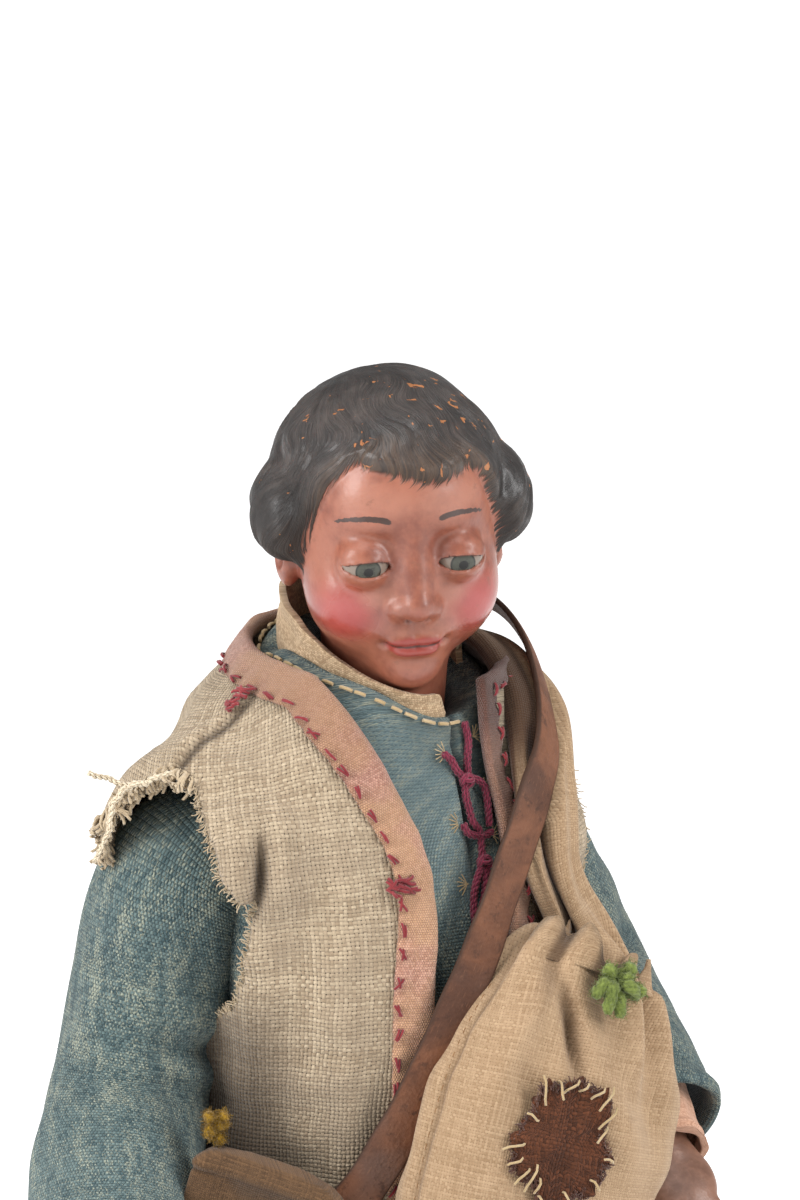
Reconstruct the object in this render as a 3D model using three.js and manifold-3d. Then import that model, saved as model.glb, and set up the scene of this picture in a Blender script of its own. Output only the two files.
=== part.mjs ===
// A dressed crib figure of a peasant boy, standing on a low wooden base.
// Painted terracotta head with glass eyes, carved hands and legs, clothes of wool, linen and leather.
// Millimetres, +Z up. The figure faces -Y and its left side is +X.
// The origin is the middle of the base's underside.
import * as THREE from "three";
import { mergeVertices } from "three/addons/utils/BufferGeometryUtils.js";
import Module from "manifold-3d";

const wasm = await Module();
wasm.setup();

// Driving sizes
const GAP = 0.35; // clearance between pieces that touch
const BASE = { width: 124, depth: 104, height: 12, bevel: 2.5, corner: 6 };
const HEAD = { x: 0, y: -8, z: 330, turn: -18, nod: 13, lean: -3 }; // centre and degrees
const EYE = { apart: 9.2, y: -18.5, up: 0.4, radius: 5 }; // in the head's own frame
const NECK = { radius: 12.4, x: 0, y: -3.5, z: 296 };
const COLLAR = { wide: 19, deep: 22.4, y: -1, z: 301.4, rise: 0.38, wall: 1.5 };
const COLLAR_HEIGHT = { front: 4, side: 10.5, nape: 6, lean: 0.12 }; // and how far the band leans in
const COLLAR_GAP = { right: 3.6, left: 32, back: -5, depth: 40, height: 40 }; // in front, on the left
const RIBBON = { width: 7.6, thickness: 0.9, steps: 36, inset: 0.4, lift: 1.4 };
const STRAP = { width: 8.6, thickness: 1.3, steps: 46 };
const LINEN = 1.9; // waistcoat cloth with its lining
const CORD = 0.65; // radius of the lacing cord
const CUFF = { radius: 9.4, wall: 1.3, length: 14, inside: 6 };
const SLEEVE_END = { depth: 8, radius: 11.2, flare: 0.8 };
const SLEEVE_MESH = { rows: 10, columns: 12 };
const BODY_MESH = { rows: 10, columns: 23 };
const SHOE = { wide: 8, half: 22, high: 11, toe: 6, sole: 3.5, heel: 11 }; // heel: how far it sits behind
const SEAT = { wide: 33.5, deep: 26.5, y: 0.5, foot: 138 };
const SEAT_WELL = { wide: 36, deep: 28.8, foot: 150 }; // hollow in the tunic's skirt
const HAND = { wrist: 6.4, wristLong: 14, palm: 19, palmWide: 9.4, palmThick: 5.6, row: 4.3, inCuff: 7 };
const FINGERS = [15.5, 17, 16, 13];
const THUMB = { length: 16, radius: 2.8, spread: 0.75 };
const ELBOW_CREASE = { at: 0.6, reach: 0.14, waves: 70, height: 0.9 };

// Body levels, bottom to top: height, half width, half depth, middle, and the tilt of the ring
const TUNIC = [
  { at: 0.0, z: 164, wide: 41, deep: 33.5, y: 0, rise: 0 },
  { at: 0.16, z: 188, wide: 39, deep: 31.5, y: -1, rise: 0 },
  { at: 0.34, z: 212, wide: 35.5, deep: 29.5, y: -3, rise: 0 },
  { at: 0.52, z: 240, wide: 37, deep: 31, y: -4, rise: 0 },
  { at: 0.66, z: 258, wide: 38.5, deep: 30, y: -3.5, rise: 0.02 },
  { at: 0.8, z: 277, wide: 36.5, deep: 26.5, y: -2.5, rise: 0.12 },
  { at: 0.9, z: 290, wide: 31, deep: 24.5, y: -1.5, rise: 0.26 },
  { at: 0.96, z: 298, wide: 25, deep: 23.8, y: -1, rise: 0.34 },
  { at: 1.0, z: 302, wide: 20.6, deep: 23.2, y: -1, rise: 0.38 },
];
const WAISTCOAT = [
  { at: 0.0, z: 184, wide: 43.5, slim: 1, deep: 36, y: -1, rise: 0 },
  { at: 0.25, z: 212, wide: 39.5, slim: 1, deep: 33.4, y: -3, rise: 0 },
  { at: 0.48, z: 240, wide: 42, slim: 2, deep: 34.8, y: -4, rise: 0 },
  { at: 0.62, z: 256, wide: 50, slim: 7, deep: 34, y: -3, rise: 0.02 },
  { at: 0.72, z: 267, wide: 58, slim: 13, deep: 32.2, y: -2, rise: 0.06 },
  { at: 0.8, z: 278, wide: 55, slim: 12, deep: 30.4, y: -1.5, rise: 0.13 },
  { at: 0.87, z: 286.5, wide: 44.3, slim: 6.3, deep: 29.2, y: -1, rise: 0.16 },
  { at: 0.94, z: 297.8, wide: 31.6, slim: 1.6, deep: 27.8, y: -1, rise: 0.18 },
  { at: 1.0, z: 305, wide: 25.5, slim: 0.5, deep: 26.6, y: -1, rise: 0.16 },
];
const ARMHOLE = { x: 51, y: -7.5, z: 257, wide: 17, deep: 16, high: 28 };

// Sleeves: middle line and radius from shoulder to hem
const RIGHT_SLEEVE = [
  { at: 0, x: -26, y: 4, z: 268, radius: 14.5 },
  { at: 0.16, x: -39.5, y: 5, z: 261, radius: 16.5 },
  { at: 0.4, x: -47, y: 6, z: 240, radius: 16.4 },
  { at: 0.62, x: -53.5, y: 4, z: 217, radius: 16 },
  { at: 0.82, x: -61.5, y: -6, z: 198, radius: 15.2 },
  { at: 1, x: -68.5, y: -20, z: 183, radius: 14.4 },
];
const LEFT_SLEEVE = [
  { at: 0, x: 24, y: 4, z: 271, radius: 13 },
  { at: 0.16, x: 36, y: 7, z: 261, radius: 14.5 },
  { at: 0.38, x: 47.5, y: 10, z: 245, radius: 14.5 },
  { at: 0.58, x: 58, y: 11.5, z: 228, radius: 12.8 },
  { at: 0.78, x: 59.5, y: -2, z: 214.5, radius: 12.6 },
  { at: 1, x: 56.5, y: -18, z: 202, radius: 13.4 },
];

// Legs under the breeches
const RIGHT_LEG = [
  { at: 0, x: -17, y: -1, z: 176, radius: 16, calf: 11 },
  { at: 0.42, x: -20, y: -5, z: 122, radius: 17, calf: 10.5 },
  { at: 0.58, x: -21, y: -5, z: 100, radius: 14.5, calf: 9.5 },
  { at: 0.64, x: -21, y: -4.5, z: 93, radius: 12.5, calf: 9 },
  { at: 0.8, x: -22.5, y: 0, z: 66, radius: 12.5, calf: 10.5 },
  { at: 1, x: -24, y: 3, z: 24, radius: 12, calf: 7 },
];
const LEFT_LEG = [
  { at: 0, x: 17, y: 1, z: 176, radius: 16, calf: 11 },
  { at: 0.42, x: 21, y: -2, z: 122, radius: 17, calf: 10.5 },
  { at: 0.58, x: 23, y: 3, z: 100, radius: 14.5, calf: 9.5 },
  { at: 0.64, x: 23.5, y: 4.5, z: 93, radius: 12.5, calf: 9 },
  { at: 0.8, x: 25.5, y: 10, z: 66, radius: 12.5, calf: 10.5 },
  { at: 1, x: 28, y: 15, z: 24, radius: 12, calf: 7 },
];
const BREECHES = { waist: 178, hem: 0.64 }; // top height, and how far down the leg they reach

// Head forms in its own frame: middle, half sizes and softness of the joint. A paired form is on both sides.
const SKULL = { x: 0, y: 3.5, z: 6, half: [21.5, 23.5, 22.5] };
const FACE_FORMS = [
  { name: "face", x: 0, y: -6, z: -7.5, half: [18.6, 16.5, 19.5], soft: 7 },
  { name: "cheeks", paired: true, x: 9.5, y: -11.5, z: -9.5, half: [9.5, 9, 9.5], soft: 5 },
  { name: "chin", x: 0, y: -16.5, z: -23, half: [6, 5.2, 4.8], soft: 5 },
  { name: "sockets", paired: true, hollow: true, x: 9.2, y: -25.5, z: 1.2, half: [7, 5, 4.6], soft: 3 },
  { name: "lids", paired: true, x: 9.2, y: -17.2, z: 0.4, half: [5.9, 5.7, 5.6], soft: 1.5 },
  { name: "nose_wings", paired: true, x: 3.1, y: -22.6, z: -8.6, half: [2.3, 2.3, 2.3], soft: 2 },
  { name: "upper_lip", x: 0, y: -21.6, z: -15.4, half: [5.6, 2.4, 1.6], soft: 2 },
  { name: "lower_lip", x: 0, y: -21, z: -17.8, half: [4.4, 2.4, 1.6], soft: 2 },
  { name: "ears", paired: true, x: 20.5, y: 2.5, z: -4.5, half: [2.8, 4.6, 6.8], soft: 2 },
];
const NOSE = { top: [0, -20.5, 2], tip: [0, -24.6, -7.4], topRadius: 2.2, tipRadius: 3.1, soft: 4 };
const THROAT = { top: [0, 4, -12], wider: 0.8, soft: 5 };
const HAIR_CAP = { x: 0, y: 4.5, z: 7, half: [23.4, 25.2, 23.4], soft: 4 };
const HAIRLINE = { z: 20, dip: 3.5, x: 4, reach: 9, y: -15, slope: 2.2, low: 2 };
const HAIR_FORMS = [
  { name: "side_rolls", paired: true, x: 22, y: 0.5, z: 4.5, half: [5.4, 9.5, 9], soft: 3 },
  { name: "nape", x: 0, y: 16.5, z: -5, half: [16.5, 8.5, 12.5], soft: 5 },
];

// Sack: from its slack tail on the back, over the left shoulder, to the filled end in front.
// Each stop has its middle, half width, half thickness and the way its outer face looks.
const SACK = [
  { at: 0.0, x: 22, y: 30.5, z: 228, wide: 13, thick: 2.4, nx: 0.15, ny: 1, nz: 0 },
  { at: 0.103, x: 23, y: 31, z: 254, wide: 12.5, thick: 2.6, nx: 0.2, ny: 1, nz: 0.1 },
  { at: 0.216, x: 24.5, y: 28, z: 281, wide: 11.5, thick: 2.8, nx: 0.25, ny: 0.85, nz: 0.5 },
  { at: 0.298, x: 26, y: 13, z: 298, wide: 10.5, thick: 3, nx: 0.4, ny: 0.35, nz: 0.85 },
  { at: 0.36, x: 27, y: -3, z: 301.5, wide: 9.5, thick: 3, nx: 0.55, ny: -0.1, nz: 0.83 },
  { at: 0.434, x: 25.5, y: -20, z: 294.5, wide: 9, thick: 3.2, nx: 0.4, ny: -0.6, nz: 0.66 },
  { at: 0.504, x: 21.5, y: -31, z: 280, wide: 7.8, thick: 3.6, nx: 0.3, ny: -0.85, nz: 0.4 },
  { at: 0.559, x: 21, y: -35.5, z: 266.5, wide: 7.4, thick: 4.4, nx: 0.25, ny: -0.93, nz: 0.2 },
  { at: 0.619, x: 26.5, y: -38.5, z: 252, wide: 8.4, thick: 6, nx: 0.1, ny: -0.99, nz: 0.1 },
  { at: 0.674, x: 22, y: -43, z: 242.5, wide: 16.5, thick: 9, nx: -0.05, ny: -1, nz: 0.05 },
  { at: 0.754, x: 15, y: -46.5, z: 224, wide: 24.5, thick: 12, nx: -0.15, ny: -0.99, nz: 0 },
  { at: 0.861, x: 7.5, y: -48, z: 198, wide: 26.5, thick: 13, nx: -0.15, ny: -0.99, nz: 0 },
  { at: 0.952, x: 5, y: -47, z: 175, wide: 25.5, thick: 11, nx: -0.12, ny: -0.99, nz: -0.1 },
  { at: 1.0, x: 4.5, y: -45.5, z: 163, wide: 19, thick: 6, nx: -0.1, ny: -0.9, nz: -0.4 },
];
const SACK_LINE = { length: 240, wide: 27 }; // length of its middle line and its half width at the patch
const PATCH = { at: 0.795, turn: 95, long: 10.5, wide: 8.2, thickness: 0.9 }; // on the sack's outer face
const SACK_TIE = { at: 0.676, turn: 90, size: 5 };

// Strap: points by hand on its inner face, with the way its outer face looks
const STRAP_LINE = [
  { x: -24.1, y: -32.2, z: 200.7, nx: -0.45, ny: -0.89, nz: 0.05 },
  { x: -5.4, y: -41.5, z: 239, nx: -0.1, ny: -0.98, nz: 0.1 },
  { x: 10, y: -39, z: 269.5, nx: 0.22, ny: -0.94, nz: 0.25 },
  { x: 16.2, y: -35.8, z: 280, nx: 0.42, ny: -0.84, nz: 0.32 },
  { x: 22.4, y: -30, z: 288.5, nx: 0.6, ny: -0.7, nz: 0.38 },
  { x: 28.5, y: -12, z: 304.5, nx: 0.82, ny: -0.4, nz: 0.42 },
  { x: 28, y: 3, z: 311.5, nx: 0.7, ny: -0.28, nz: 0.66 },
  { x: 20.5, y: 20.5, z: 312, nx: 0.5, ny: 0.65, nz: 0.55 },
  { x: 5, y: 30.5, z: 303, nx: 0.15, ny: 0.97, nz: 0.2 },
  { x: -12, y: 31.5, z: 283, nx: -0.1, ny: 0.97, nz: 0.2 },
  { x: -27, y: 28, z: 255, nx: -0.4, ny: 0.92, nz: 0.05 },
  { x: -30.5, y: 23.5, z: 235, nx: -0.62, ny: 0.78, nz: 0 },
  { x: -33.5, y: 19.3, z: 216, nx: -0.78, ny: 0.62, nz: 0 },
  { x: -42, y: 8, z: 203, nx: -0.97, ny: 0.25, nz: 0 },
  { x: -45, y: -5, z: 195, nx: -1, ny: -0.08, nz: 0 },
  { x: -41.5, y: -17.5, z: 192, nx: -0.85, ny: -0.52, nz: 0 },
  { x: -34, y: -26.8, z: 194.5, nx: -0.65, ny: -0.76, nz: 0 },
];
const POUCH = { x: -42, y: -27.4, z: 195, turn: 130.5, tilt: -13, wide: 15.8, high: 17, thick: 4.4 };
const POUCH_TIE = { x: -47.8, y: -20.2, z: 219.4, size: 4.2 };

// Lacing: each run of cord as distances from the middle and heights on the tunic's front
const KNOTS = [
  { x: 5, z: 281.6, radius: 1.5 },
  { x: 5.4, z: 270.4, radius: 1.5 },
];
const LACES = [
  { x: [7.6, 6.4, 5], z: [291, 287.5, 281.6] },
  { x: [1, 2.6, 5], z: [288, 285.4, 281.6] },
  { x: [5, 8, 7.8, 5.4], z: [281.6, 281.4, 276.4, 270.4] },
  { x: [5, 4.4, 5.4, 5.8, 3.4, 1.2], z: [281.6, 276.4, 270.4, 264, 257, 250.5] },
  { x: [5.4, 8.2, 8.6], z: [270.4, 269, 263.4] },
  { x: [5.4, 2.4, 1], z: [270.4, 271.6, 273.6] },
];

// Where the waistcoat's front edges run on the body: distance from the middle by level
const RIGHT_EDGE = [
  { at: 0.0, x: -9 },
  { at: 0.3, x: -8.3 },
  { at: 0.48, x: -8.4 },
  { at: 0.7, x: -6.6 },
  { at: 0.78, x: -8 },
  { at: 0.84, x: -10.4 },
  { at: 0.89, x: -13.3 },
  { at: 0.94, x: -17.4 },
  { at: 1.0, x: -22 },
];
const LEFT_EDGE = [
  { at: 0.0, x: 9.6 },
  { at: 0.48, x: 10.3 },
  { at: 0.68, x: 12.1 },
  { at: 0.82, x: 11.4 },
  { at: 0.92, x: 9.8 },
  { at: 1.0, x: 10.5 },
];

// Materials
const paint = (color, roughness, metalness = 0) =>
  new THREE.MeshStandardMaterial({ color, roughness, metalness });
const MATERIALS = {
  terracotta: paint(0xc9836b, 0.35),
  glass: paint(0x4a5550, 0.08),
  blueWool: paint(0x4f7480, 0.95),
  linen: paint(0xb7a58c, 0.95),
  creamLinen: paint(0xc8b48c, 0.9),
  sackLinen: paint(0xb89a70, 0.92),
  ribbon: paint(0xd49a80, 0.7),
  peachCloth: paint(0xd3a48a, 0.85),
  leather: paint(0x7a5545, 0.6),
  crimson: paint(0x7c2038, 0.8),
  brownWool: paint(0x5a3a2c, 0.97),
  greenWool: paint(0x6f8a2e, 0.95),
  yellowWool: paint(0xb9a02a, 0.95),
  flesh: paint(0xb98a78, 0.5),
  stand: paint(0x4b3527, 0.6),
};

// Values between named stops, on a smooth curve through them
function track(stops) {
  const names = Object.keys(stops[0]).filter((name) => name !== "at");
  return (at) => {
    let i = stops.findIndex((stop) => stop.at >= at);
    i = Math.min(Math.max(i < 0 ? stops.length - 1 : i, 1), stops.length - 1);
    const a = stops[i - 1];
    const b = stops[i];
    const span = b.at - a.at;
    const t = Math.min(Math.max((at - a.at) / span, 0), 1);
    const before = stops[Math.max(i - 2, 0)];
    const after = stops[Math.min(i + 1, stops.length - 1)];
    const value = {};
    for (const name of names) {
      const slopeA = (b[name] - before[name]) / (b.at - before.at);
      const slopeB = (after[name] - a[name]) / (after.at - a.at);
      const t2 = t * t;
      const t3 = t2 * t;
      value[name] =
        (2 * t3 - 3 * t2 + 1) * a[name] +
        (t3 - 2 * t2 + t) * span * slopeA +
        (3 * t2 - 2 * t3) * b[name] +
        (t3 - t2) * span * slopeB;
    }
    return value;
  };
}

const V = (x, y, z) => new THREE.Vector3(x, y, z);
const bump = (x, width) => Math.exp(-((x / width) ** 2));

// A closed surface from rings of points, with a fan over each end, or joined end to end in a loop
function ringSolid(rows, columns, point, loop = false) {
  const positions = [];
  const indices = [];
  const last = loop ? rows - 1 : rows;
  for (let i = 0; i <= last; i++) {
    for (let j = 0; j < columns; j++) positions.push(...point(i / rows, j / columns).toArray());
  }
  const corner = (i, j) => (i % (last + 1)) * columns + (j % columns);
  for (let i = 0; i < rows; i++) {
    for (let j = 0; j < columns; j++) {
      indices.push(corner(i, j), corner(i, j + 1), corner(i + 1, j + 1));
      indices.push(corner(i, j), corner(i + 1, j + 1), corner(i + 1, j));
    }
  }
  for (const row of loop ? [] : [0, rows]) {
    const hub = positions.length / 3;
    const middle = V(0, 0, 0);
    for (let j = 0; j < columns; j++) {
      const first = corner(row, j) * 3;
      middle.add(V(...positions.slice(first, first + 3)));
      const rim = row ? [corner(row, j), corner(row, j + 1)] : [corner(row, j + 1), corner(row, j)];
      indices.push(hub, ...rim);
    }
    positions.push(...middle.divideScalar(columns).toArray());
  }
  return solid(positions, indices);
}

// A manifold solid, turned face out
function solid(positions, indices) {
  const make = (triangles) =>
    new wasm.Manifold(
      new wasm.Mesh({
        numProp: 3,
        vertProperties: new Float32Array(positions),
        triVerts: new Uint32Array(triangles),
      }),
    );
  const made = make(indices);
  if (made.volume() > 0) return made;
  const turned = [];
  for (let i = 0; i < indices.length; i += 3) turned.push(indices[i], indices[i + 2], indices[i + 1]);
  return make(turned);
}

// A three.js geometry as a manifold solid
function solidFrom(geometry, matrix = new THREE.Matrix4()) {
  const bare = geometry.clone().applyMatrix4(matrix);
  bare.deleteAttribute("normal");
  bare.deleteAttribute("uv");
  const merged = mergeVertices(bare, 1e-4);
  return solid([...merged.attributes.position.array], [...merged.index.array]);
}

const union = (...solids) => solids.reduce((a, b) => a.add(b));
const cut = (body, ...cutters) => cutters.reduce((a, b) => a.subtract(b), body);

// The largest piece that a cut leaves
function largest(body) {
  return body.decompose().reduce((a, b) => (b.volume() > a.volume() ? b : a));
}

// Rings round the body, grown outwards by a distance. The left side can be slimmer.
function bodySurface(stops) {
  const level = track(stops);
  return (at, angle, grow = 0) => {
    const { z, wide, slim = 0, deep, y, rise } = level(at);
    const half = wide - (Math.cos(angle) > 0 ? slim : 0);
    const x = Math.cos(angle) * (half + grow);
    const back = Math.sin(angle) * (deep + grow);
    const up = Math.max(0, (at - 0.72) / 0.28) * grow * 0.75;
    return V(x, y + back, z + rise * back + up);
  };
}
const tunicSurface = bodySurface(TUNIC);
const waistcoatSurface = bodySurface(WAISTCOAT);

// Outward direction of a surface at a place
function normalAt(surface, at, angle) {
  const step = 0.01;
  const up = surface(Math.min(at + step, 1), angle).sub(surface(Math.max(at - step, 0), angle));
  const round = surface(at, angle + step).sub(surface(at, angle - step));
  return round.cross(up).normalize();
}

// Closed body between two levels, run on straight up and down by a distance where a cutter needs it
function bodySolid(surface, grow, rows, columns, beyond = 0) {
  const all = beyond ? rows + 2 : rows;
  return ringSolid(all, columns, (t, around) => {
    const at = beyond ? (t * all - 1) / rows : t;
    const place = surface(Math.min(Math.max(at, 0), 1), around * 2 * Math.PI, grow);
    if (at < -1e-6) place.z -= beyond;
    if (at > 1 + 1e-6) place.z += beyond;
    return place;
  });
}

// Folds of a sleeve: creases across the inside of the elbow and slow waves along it
function sleeveFold(at, angle, side) {
  const inside = 0.5 + 0.5 * Math.cos(angle - side);
  const { at: elbow, reach, waves, height } = ELBOW_CREASE;
  const crease = bump(at - elbow, reach) * inside * Math.sin(at * waves) * height;
  const wave = 0.7 * Math.sin(angle * 3 + at * 9) + 0.5 * Math.sin(angle * 2 - at * 14);
  return crease + wave * (0.35 + 0.65 * at);
}

// A tube along named stops
function tubeSurface(stops, radiusName = "radius", fold = () => 0) {
  const value = track(stops);
  return (at, angle, grow = 0) => {
    const here = value(at);
    const step = 0.01;
    const a = value(Math.max(at - step, 0));
    const b = value(Math.min(at + step, 1));
    const along = V(b.x - a.x, b.y - a.y, b.z - a.z).normalize();
    const side = V(0, 1, 0).cross(along).normalize();
    const front = along.clone().cross(side);
    const r = here[radiusName] + grow + fold(at, angle);
    return V(here.x, here.y, here.z)
      .addScaledVector(side, r * Math.cos(angle))
      .addScaledVector(front, r * Math.sin(angle));
  };
}

function tubeSolid(surface, rows, columns, from = 0, to = 1, grow = 0) {
  return ringSolid(rows, columns, (t, around) => {
    return surface(from + (to - from) * t, around * 2 * Math.PI, grow);
  });
}

const rightSleeve = tubeSurface(RIGHT_SLEEVE, "radius", (at, angle) => sleeveFold(at, angle, 0.4));
const leftSleeve = tubeSurface(LEFT_SLEEVE, "radius", (at, angle) => sleeveFold(at, angle, 2.6));
const sleeveSolid = (surface, grow) => {
  return tubeSolid(surface, SLEEVE_MESH.rows, SLEEVE_MESH.columns, 0, 1, grow);
};

// The end of an arm: its place and the way it points
function armEnd(stops) {
  const value = track(stops);
  const a = value(0.93);
  const b = value(1);
  const along = V(b.x - a.x, b.y - a.y, b.z - a.z).normalize();
  return { end: V(b.x, b.y, b.z), along };
}

// A frame whose +Z runs along a direction and whose +X is as near as can be to a hint
function frameAt(origin, along, hint) {
  const y = along.clone().cross(hint).normalize();
  const x = y.clone().cross(along);
  return new THREE.Matrix4().makeBasis(x, y, along).setPosition(origin);
}

// Round bar between two radii, along +Z from a start to an end
function bar(start, end, radiusStart, radiusEnd, sides = 20) {
  const shape = new THREE.CylinderGeometry(radiusEnd, radiusStart, end - start, sides);
  shape.rotateX(Math.PI / 2).translate(0, 0, (start + end) / 2);
  return shape;
}

// Base: a low block with round corners and a bevelled edge
function makeBase() {
  const { width, depth, height, bevel, corner } = BASE;
  const x = width / 2 - bevel - corner;
  const y = depth / 2 - bevel - corner;
  const outline = new THREE.Shape();
  [[x, -y], [x, y], [-x, y], [-x, -y]].forEach(([cx, cy], i) => {
    const start = (i - 1) * (Math.PI / 2);
    outline.absarc(cx, cy, corner, start, start + Math.PI / 2);
  });
  const shape = new THREE.ExtrudeGeometry(outline, {
    depth: height - 2 * bevel,
    bevelThickness: bevel,
    bevelSize: bevel,
    bevelSegments: 1,
    curveSegments: 3,
  });
  return solidFrom(shape.translate(0, 0, bevel));
}

// Leg with its shoe, carved as one
function makeLeg(stops, turn) {
  const leg = tubeSolid(tubeSurface(stops, "calf"), 7, 9, 0.3, 1);
  const { x, y } = track(stops)(1);
  const { wide, half, high, toe, sole, heel } = SHOE;
  const shoe = ringSolid(7, 12, (t, around) => {
    const angle = around * 2 * Math.PI;
    const run = 2 * t - 1;
    const full = Math.max(1 - Math.abs(run) ** 2.6, 0.03) ** 0.45;
    const side = (wide + 1.4 * bump(run - 0.45, 0.4)) * full;
    const top = high - (high - toe) * THREE.MathUtils.smoothstep(run, -0.3, 0.8);
    const up = top * Math.max(full, 0.4) * Math.sin(angle);
    return V(side * Math.cos(angle), -half * run, Math.max(up, -sole));
  });
  const place = new THREE.Matrix4()
    .makeTranslation(x, y - heel, BASE.height + GAP + sole)
    .multiply(new THREE.Matrix4().makeRotationZ(THREE.MathUtils.degToRad(turn)));
  return leg.add(shoe.transform(place.elements));
}

// Breeches: two legs and a seat, gathered above the knee
function makeBreeches() {
  const { waist, hem } = BREECHES;
  const { wide, deep, y, foot } = SEAT;
  const gather = (at, angle) => {
    const pleats = 0.8 * Math.sin(angle * 6) * bump(at - hem, 0.12);
    return pleats + 0.6 * Math.sin(angle * 3 + at * 12);
  };
  const legs = [RIGHT_LEG, LEFT_LEG];
  const tubes = legs.map((stops) => tubeSolid(tubeSurface(stops, "radius", gather), 8, 12, 0, hem));
  const seat = ringSolid(3, 18, (t, around) => {
    const angle = around * 2 * Math.PI;
    const full = Math.sqrt(1 - (1 - Math.min(t * 1.6 + 0.12, 1)) ** 2);
    const back = deep * full * Math.sin(angle);
    return V(wide * full * Math.cos(angle), back + y, foot + (waist - foot) * t);
  });
  const block = 60;
  const above = solidFrom(new THREE.BoxGeometry(160, 160, block).translate(0, 0, waist + block / 2));
  const holes = legs.map((stops) => tubeSolid(tubeSurface(stops, "calf"), 7, 9, 0.28, 1, GAP));
  return largest(cut(union(seat, ...tubes), above, ...holes));
}

// Hand in its own frame: wrist at the origin, fingers along +Z, palm facing +Y, thumb towards +X
function makeHand(curl) {
  const { wrist: wristRadius, wristLong, palm: palmLong, palmWide, palmThick, row } = HAND;
  const wrist = solidFrom(bar(3 - wristLong, 3, wristRadius, wristRadius - 0.4, 8));
  const palm = ringSolid(4, 8, (t, around) => {
    const angle = around * 2 * Math.PI;
    const narrow = 3.2 * (1 - Math.sin(Math.min(t * 1.3, 1) * (Math.PI / 2)));
    const thick = palmThick - 1.9 * t;
    const up = thick * Math.sin(angle) + t * t * 1.2;
    return V((palmWide - narrow) * Math.cos(angle), up, palmLong * t - 1);
  });
  const finger = (foot, length, radius, bend, spread) => {
    const points = [foot];
    let lean = bend * 0.3;
    for (const share of [0.42, 0.32, 0.26]) {
      const bone = V(Math.sin(spread), Math.sin(lean), Math.cos(lean) * Math.cos(spread));
      points.push(points[points.length - 1].clone().addScaledVector(bone, share * length));
      lean += bend;
    }
    const line = new THREE.CatmullRomCurve3(points);
    return ringSolid(4, 5, (t, around) => {
      const along = line.getTangent(t);
      const side = along.clone().cross(V(0, 1, 0)).normalize();
      const front = side.clone().cross(along);
      const r = radius * (1.1 - 0.2 * t) * (t > 0.99 ? 0.55 : 1);
      const angle = around * 2 * Math.PI;
      return line
        .getPoint(t)
        .addScaledVector(side, r * Math.cos(angle))
        .addScaledVector(front, r * Math.sin(angle));
    });
  };
  const fingers = FINGERS.map((long, i) => {
    const x = (1.5 - i) * row + 0.15;
    return finger(V(x, 1.0, palmLong - 4), long, 2.4 - 0.12 * i, curl + 0.06 * i, (x - 1) * 0.018);
  });
  const thumb = finger(V(6, 1.2, 3.5), THUMB.length, THUMB.radius, curl * 0.55, THUMB.spread);
  return largest(union(wrist, palm, thumb, ...fingers));
}

// Head in its own frame, as a distance: negative inside
function roundedUnion(a, b, radius) {
  const h = Math.max(radius - Math.abs(a - b), 0) / radius;
  return Math.min(a, b) - h * h * radius * 0.25;
}
const roundedCut = (a, b, radius) => -roundedUnion(-a, b, radius);
function ball(p, x, y, z, rx, ry, rz) {
  const k0 = Math.hypot((p.x - x) / rx, (p.y - y) / ry, (p.z - z) / rz);
  const k1 = Math.hypot((p.x - x) / rx ** 2, (p.y - y) / ry ** 2, (p.z - z) / rz ** 2);
  return k1 < 1e-9 ? -Math.min(rx, ry, rz) : (k0 * (k0 - 1)) / k1;
}
function rod(p, a, b, radiusA, radiusB) {
  const along = b.clone().sub(a);
  const t = Math.min(Math.max(p.clone().sub(a).dot(along) / along.lengthSq(), 0), 1);
  return p.distanceTo(a.clone().addScaledVector(along, t)) - (radiusA + (radiusB - radiusA) * t);
}

// Distance to one named form, folded over to both sides where it is paired
function formDistance(p, { x, y, z, half, paired }) {
  const here = paired ? V(Math.abs(p.x), p.y, p.z) : p;
  return ball(here, x, y, z, ...half);
}

function headDistance(p, neckFoot) {
  let d = formDistance(p, SKULL);
  for (const form of FACE_FORMS) {
    const join = form.hollow ? roundedCut : roundedUnion;
    d = join(d, formDistance(p, form), form.soft);
  }
  d = roundedUnion(d, rod(p, V(...NOSE.top), V(...NOSE.tip), NOSE.topRadius, NOSE.tipRadius), NOSE.soft);
  const throat = rod(p, V(...THROAT.top), neckFoot, NECK.radius + THROAT.wider, NECK.radius);
  d = roundedUnion(d, throat, THROAT.soft);
  const brow = HAIRLINE.z - HAIRLINE.dip * bump(p.x - HAIRLINE.x, HAIRLINE.reach);
  const side = Math.max(brow - HAIRLINE.slope * Math.max(p.y - HAIRLINE.y, 0), HAIRLINE.low);
  const front = side - p.z;
  d = roundedUnion(d, Math.max(formDistance(p, HAIR_CAP), front), HAIR_CAP.soft);
  for (const form of HAIR_FORMS) d = roundedUnion(d, formDistance(p, form), form.soft);
  return d;
}

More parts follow.
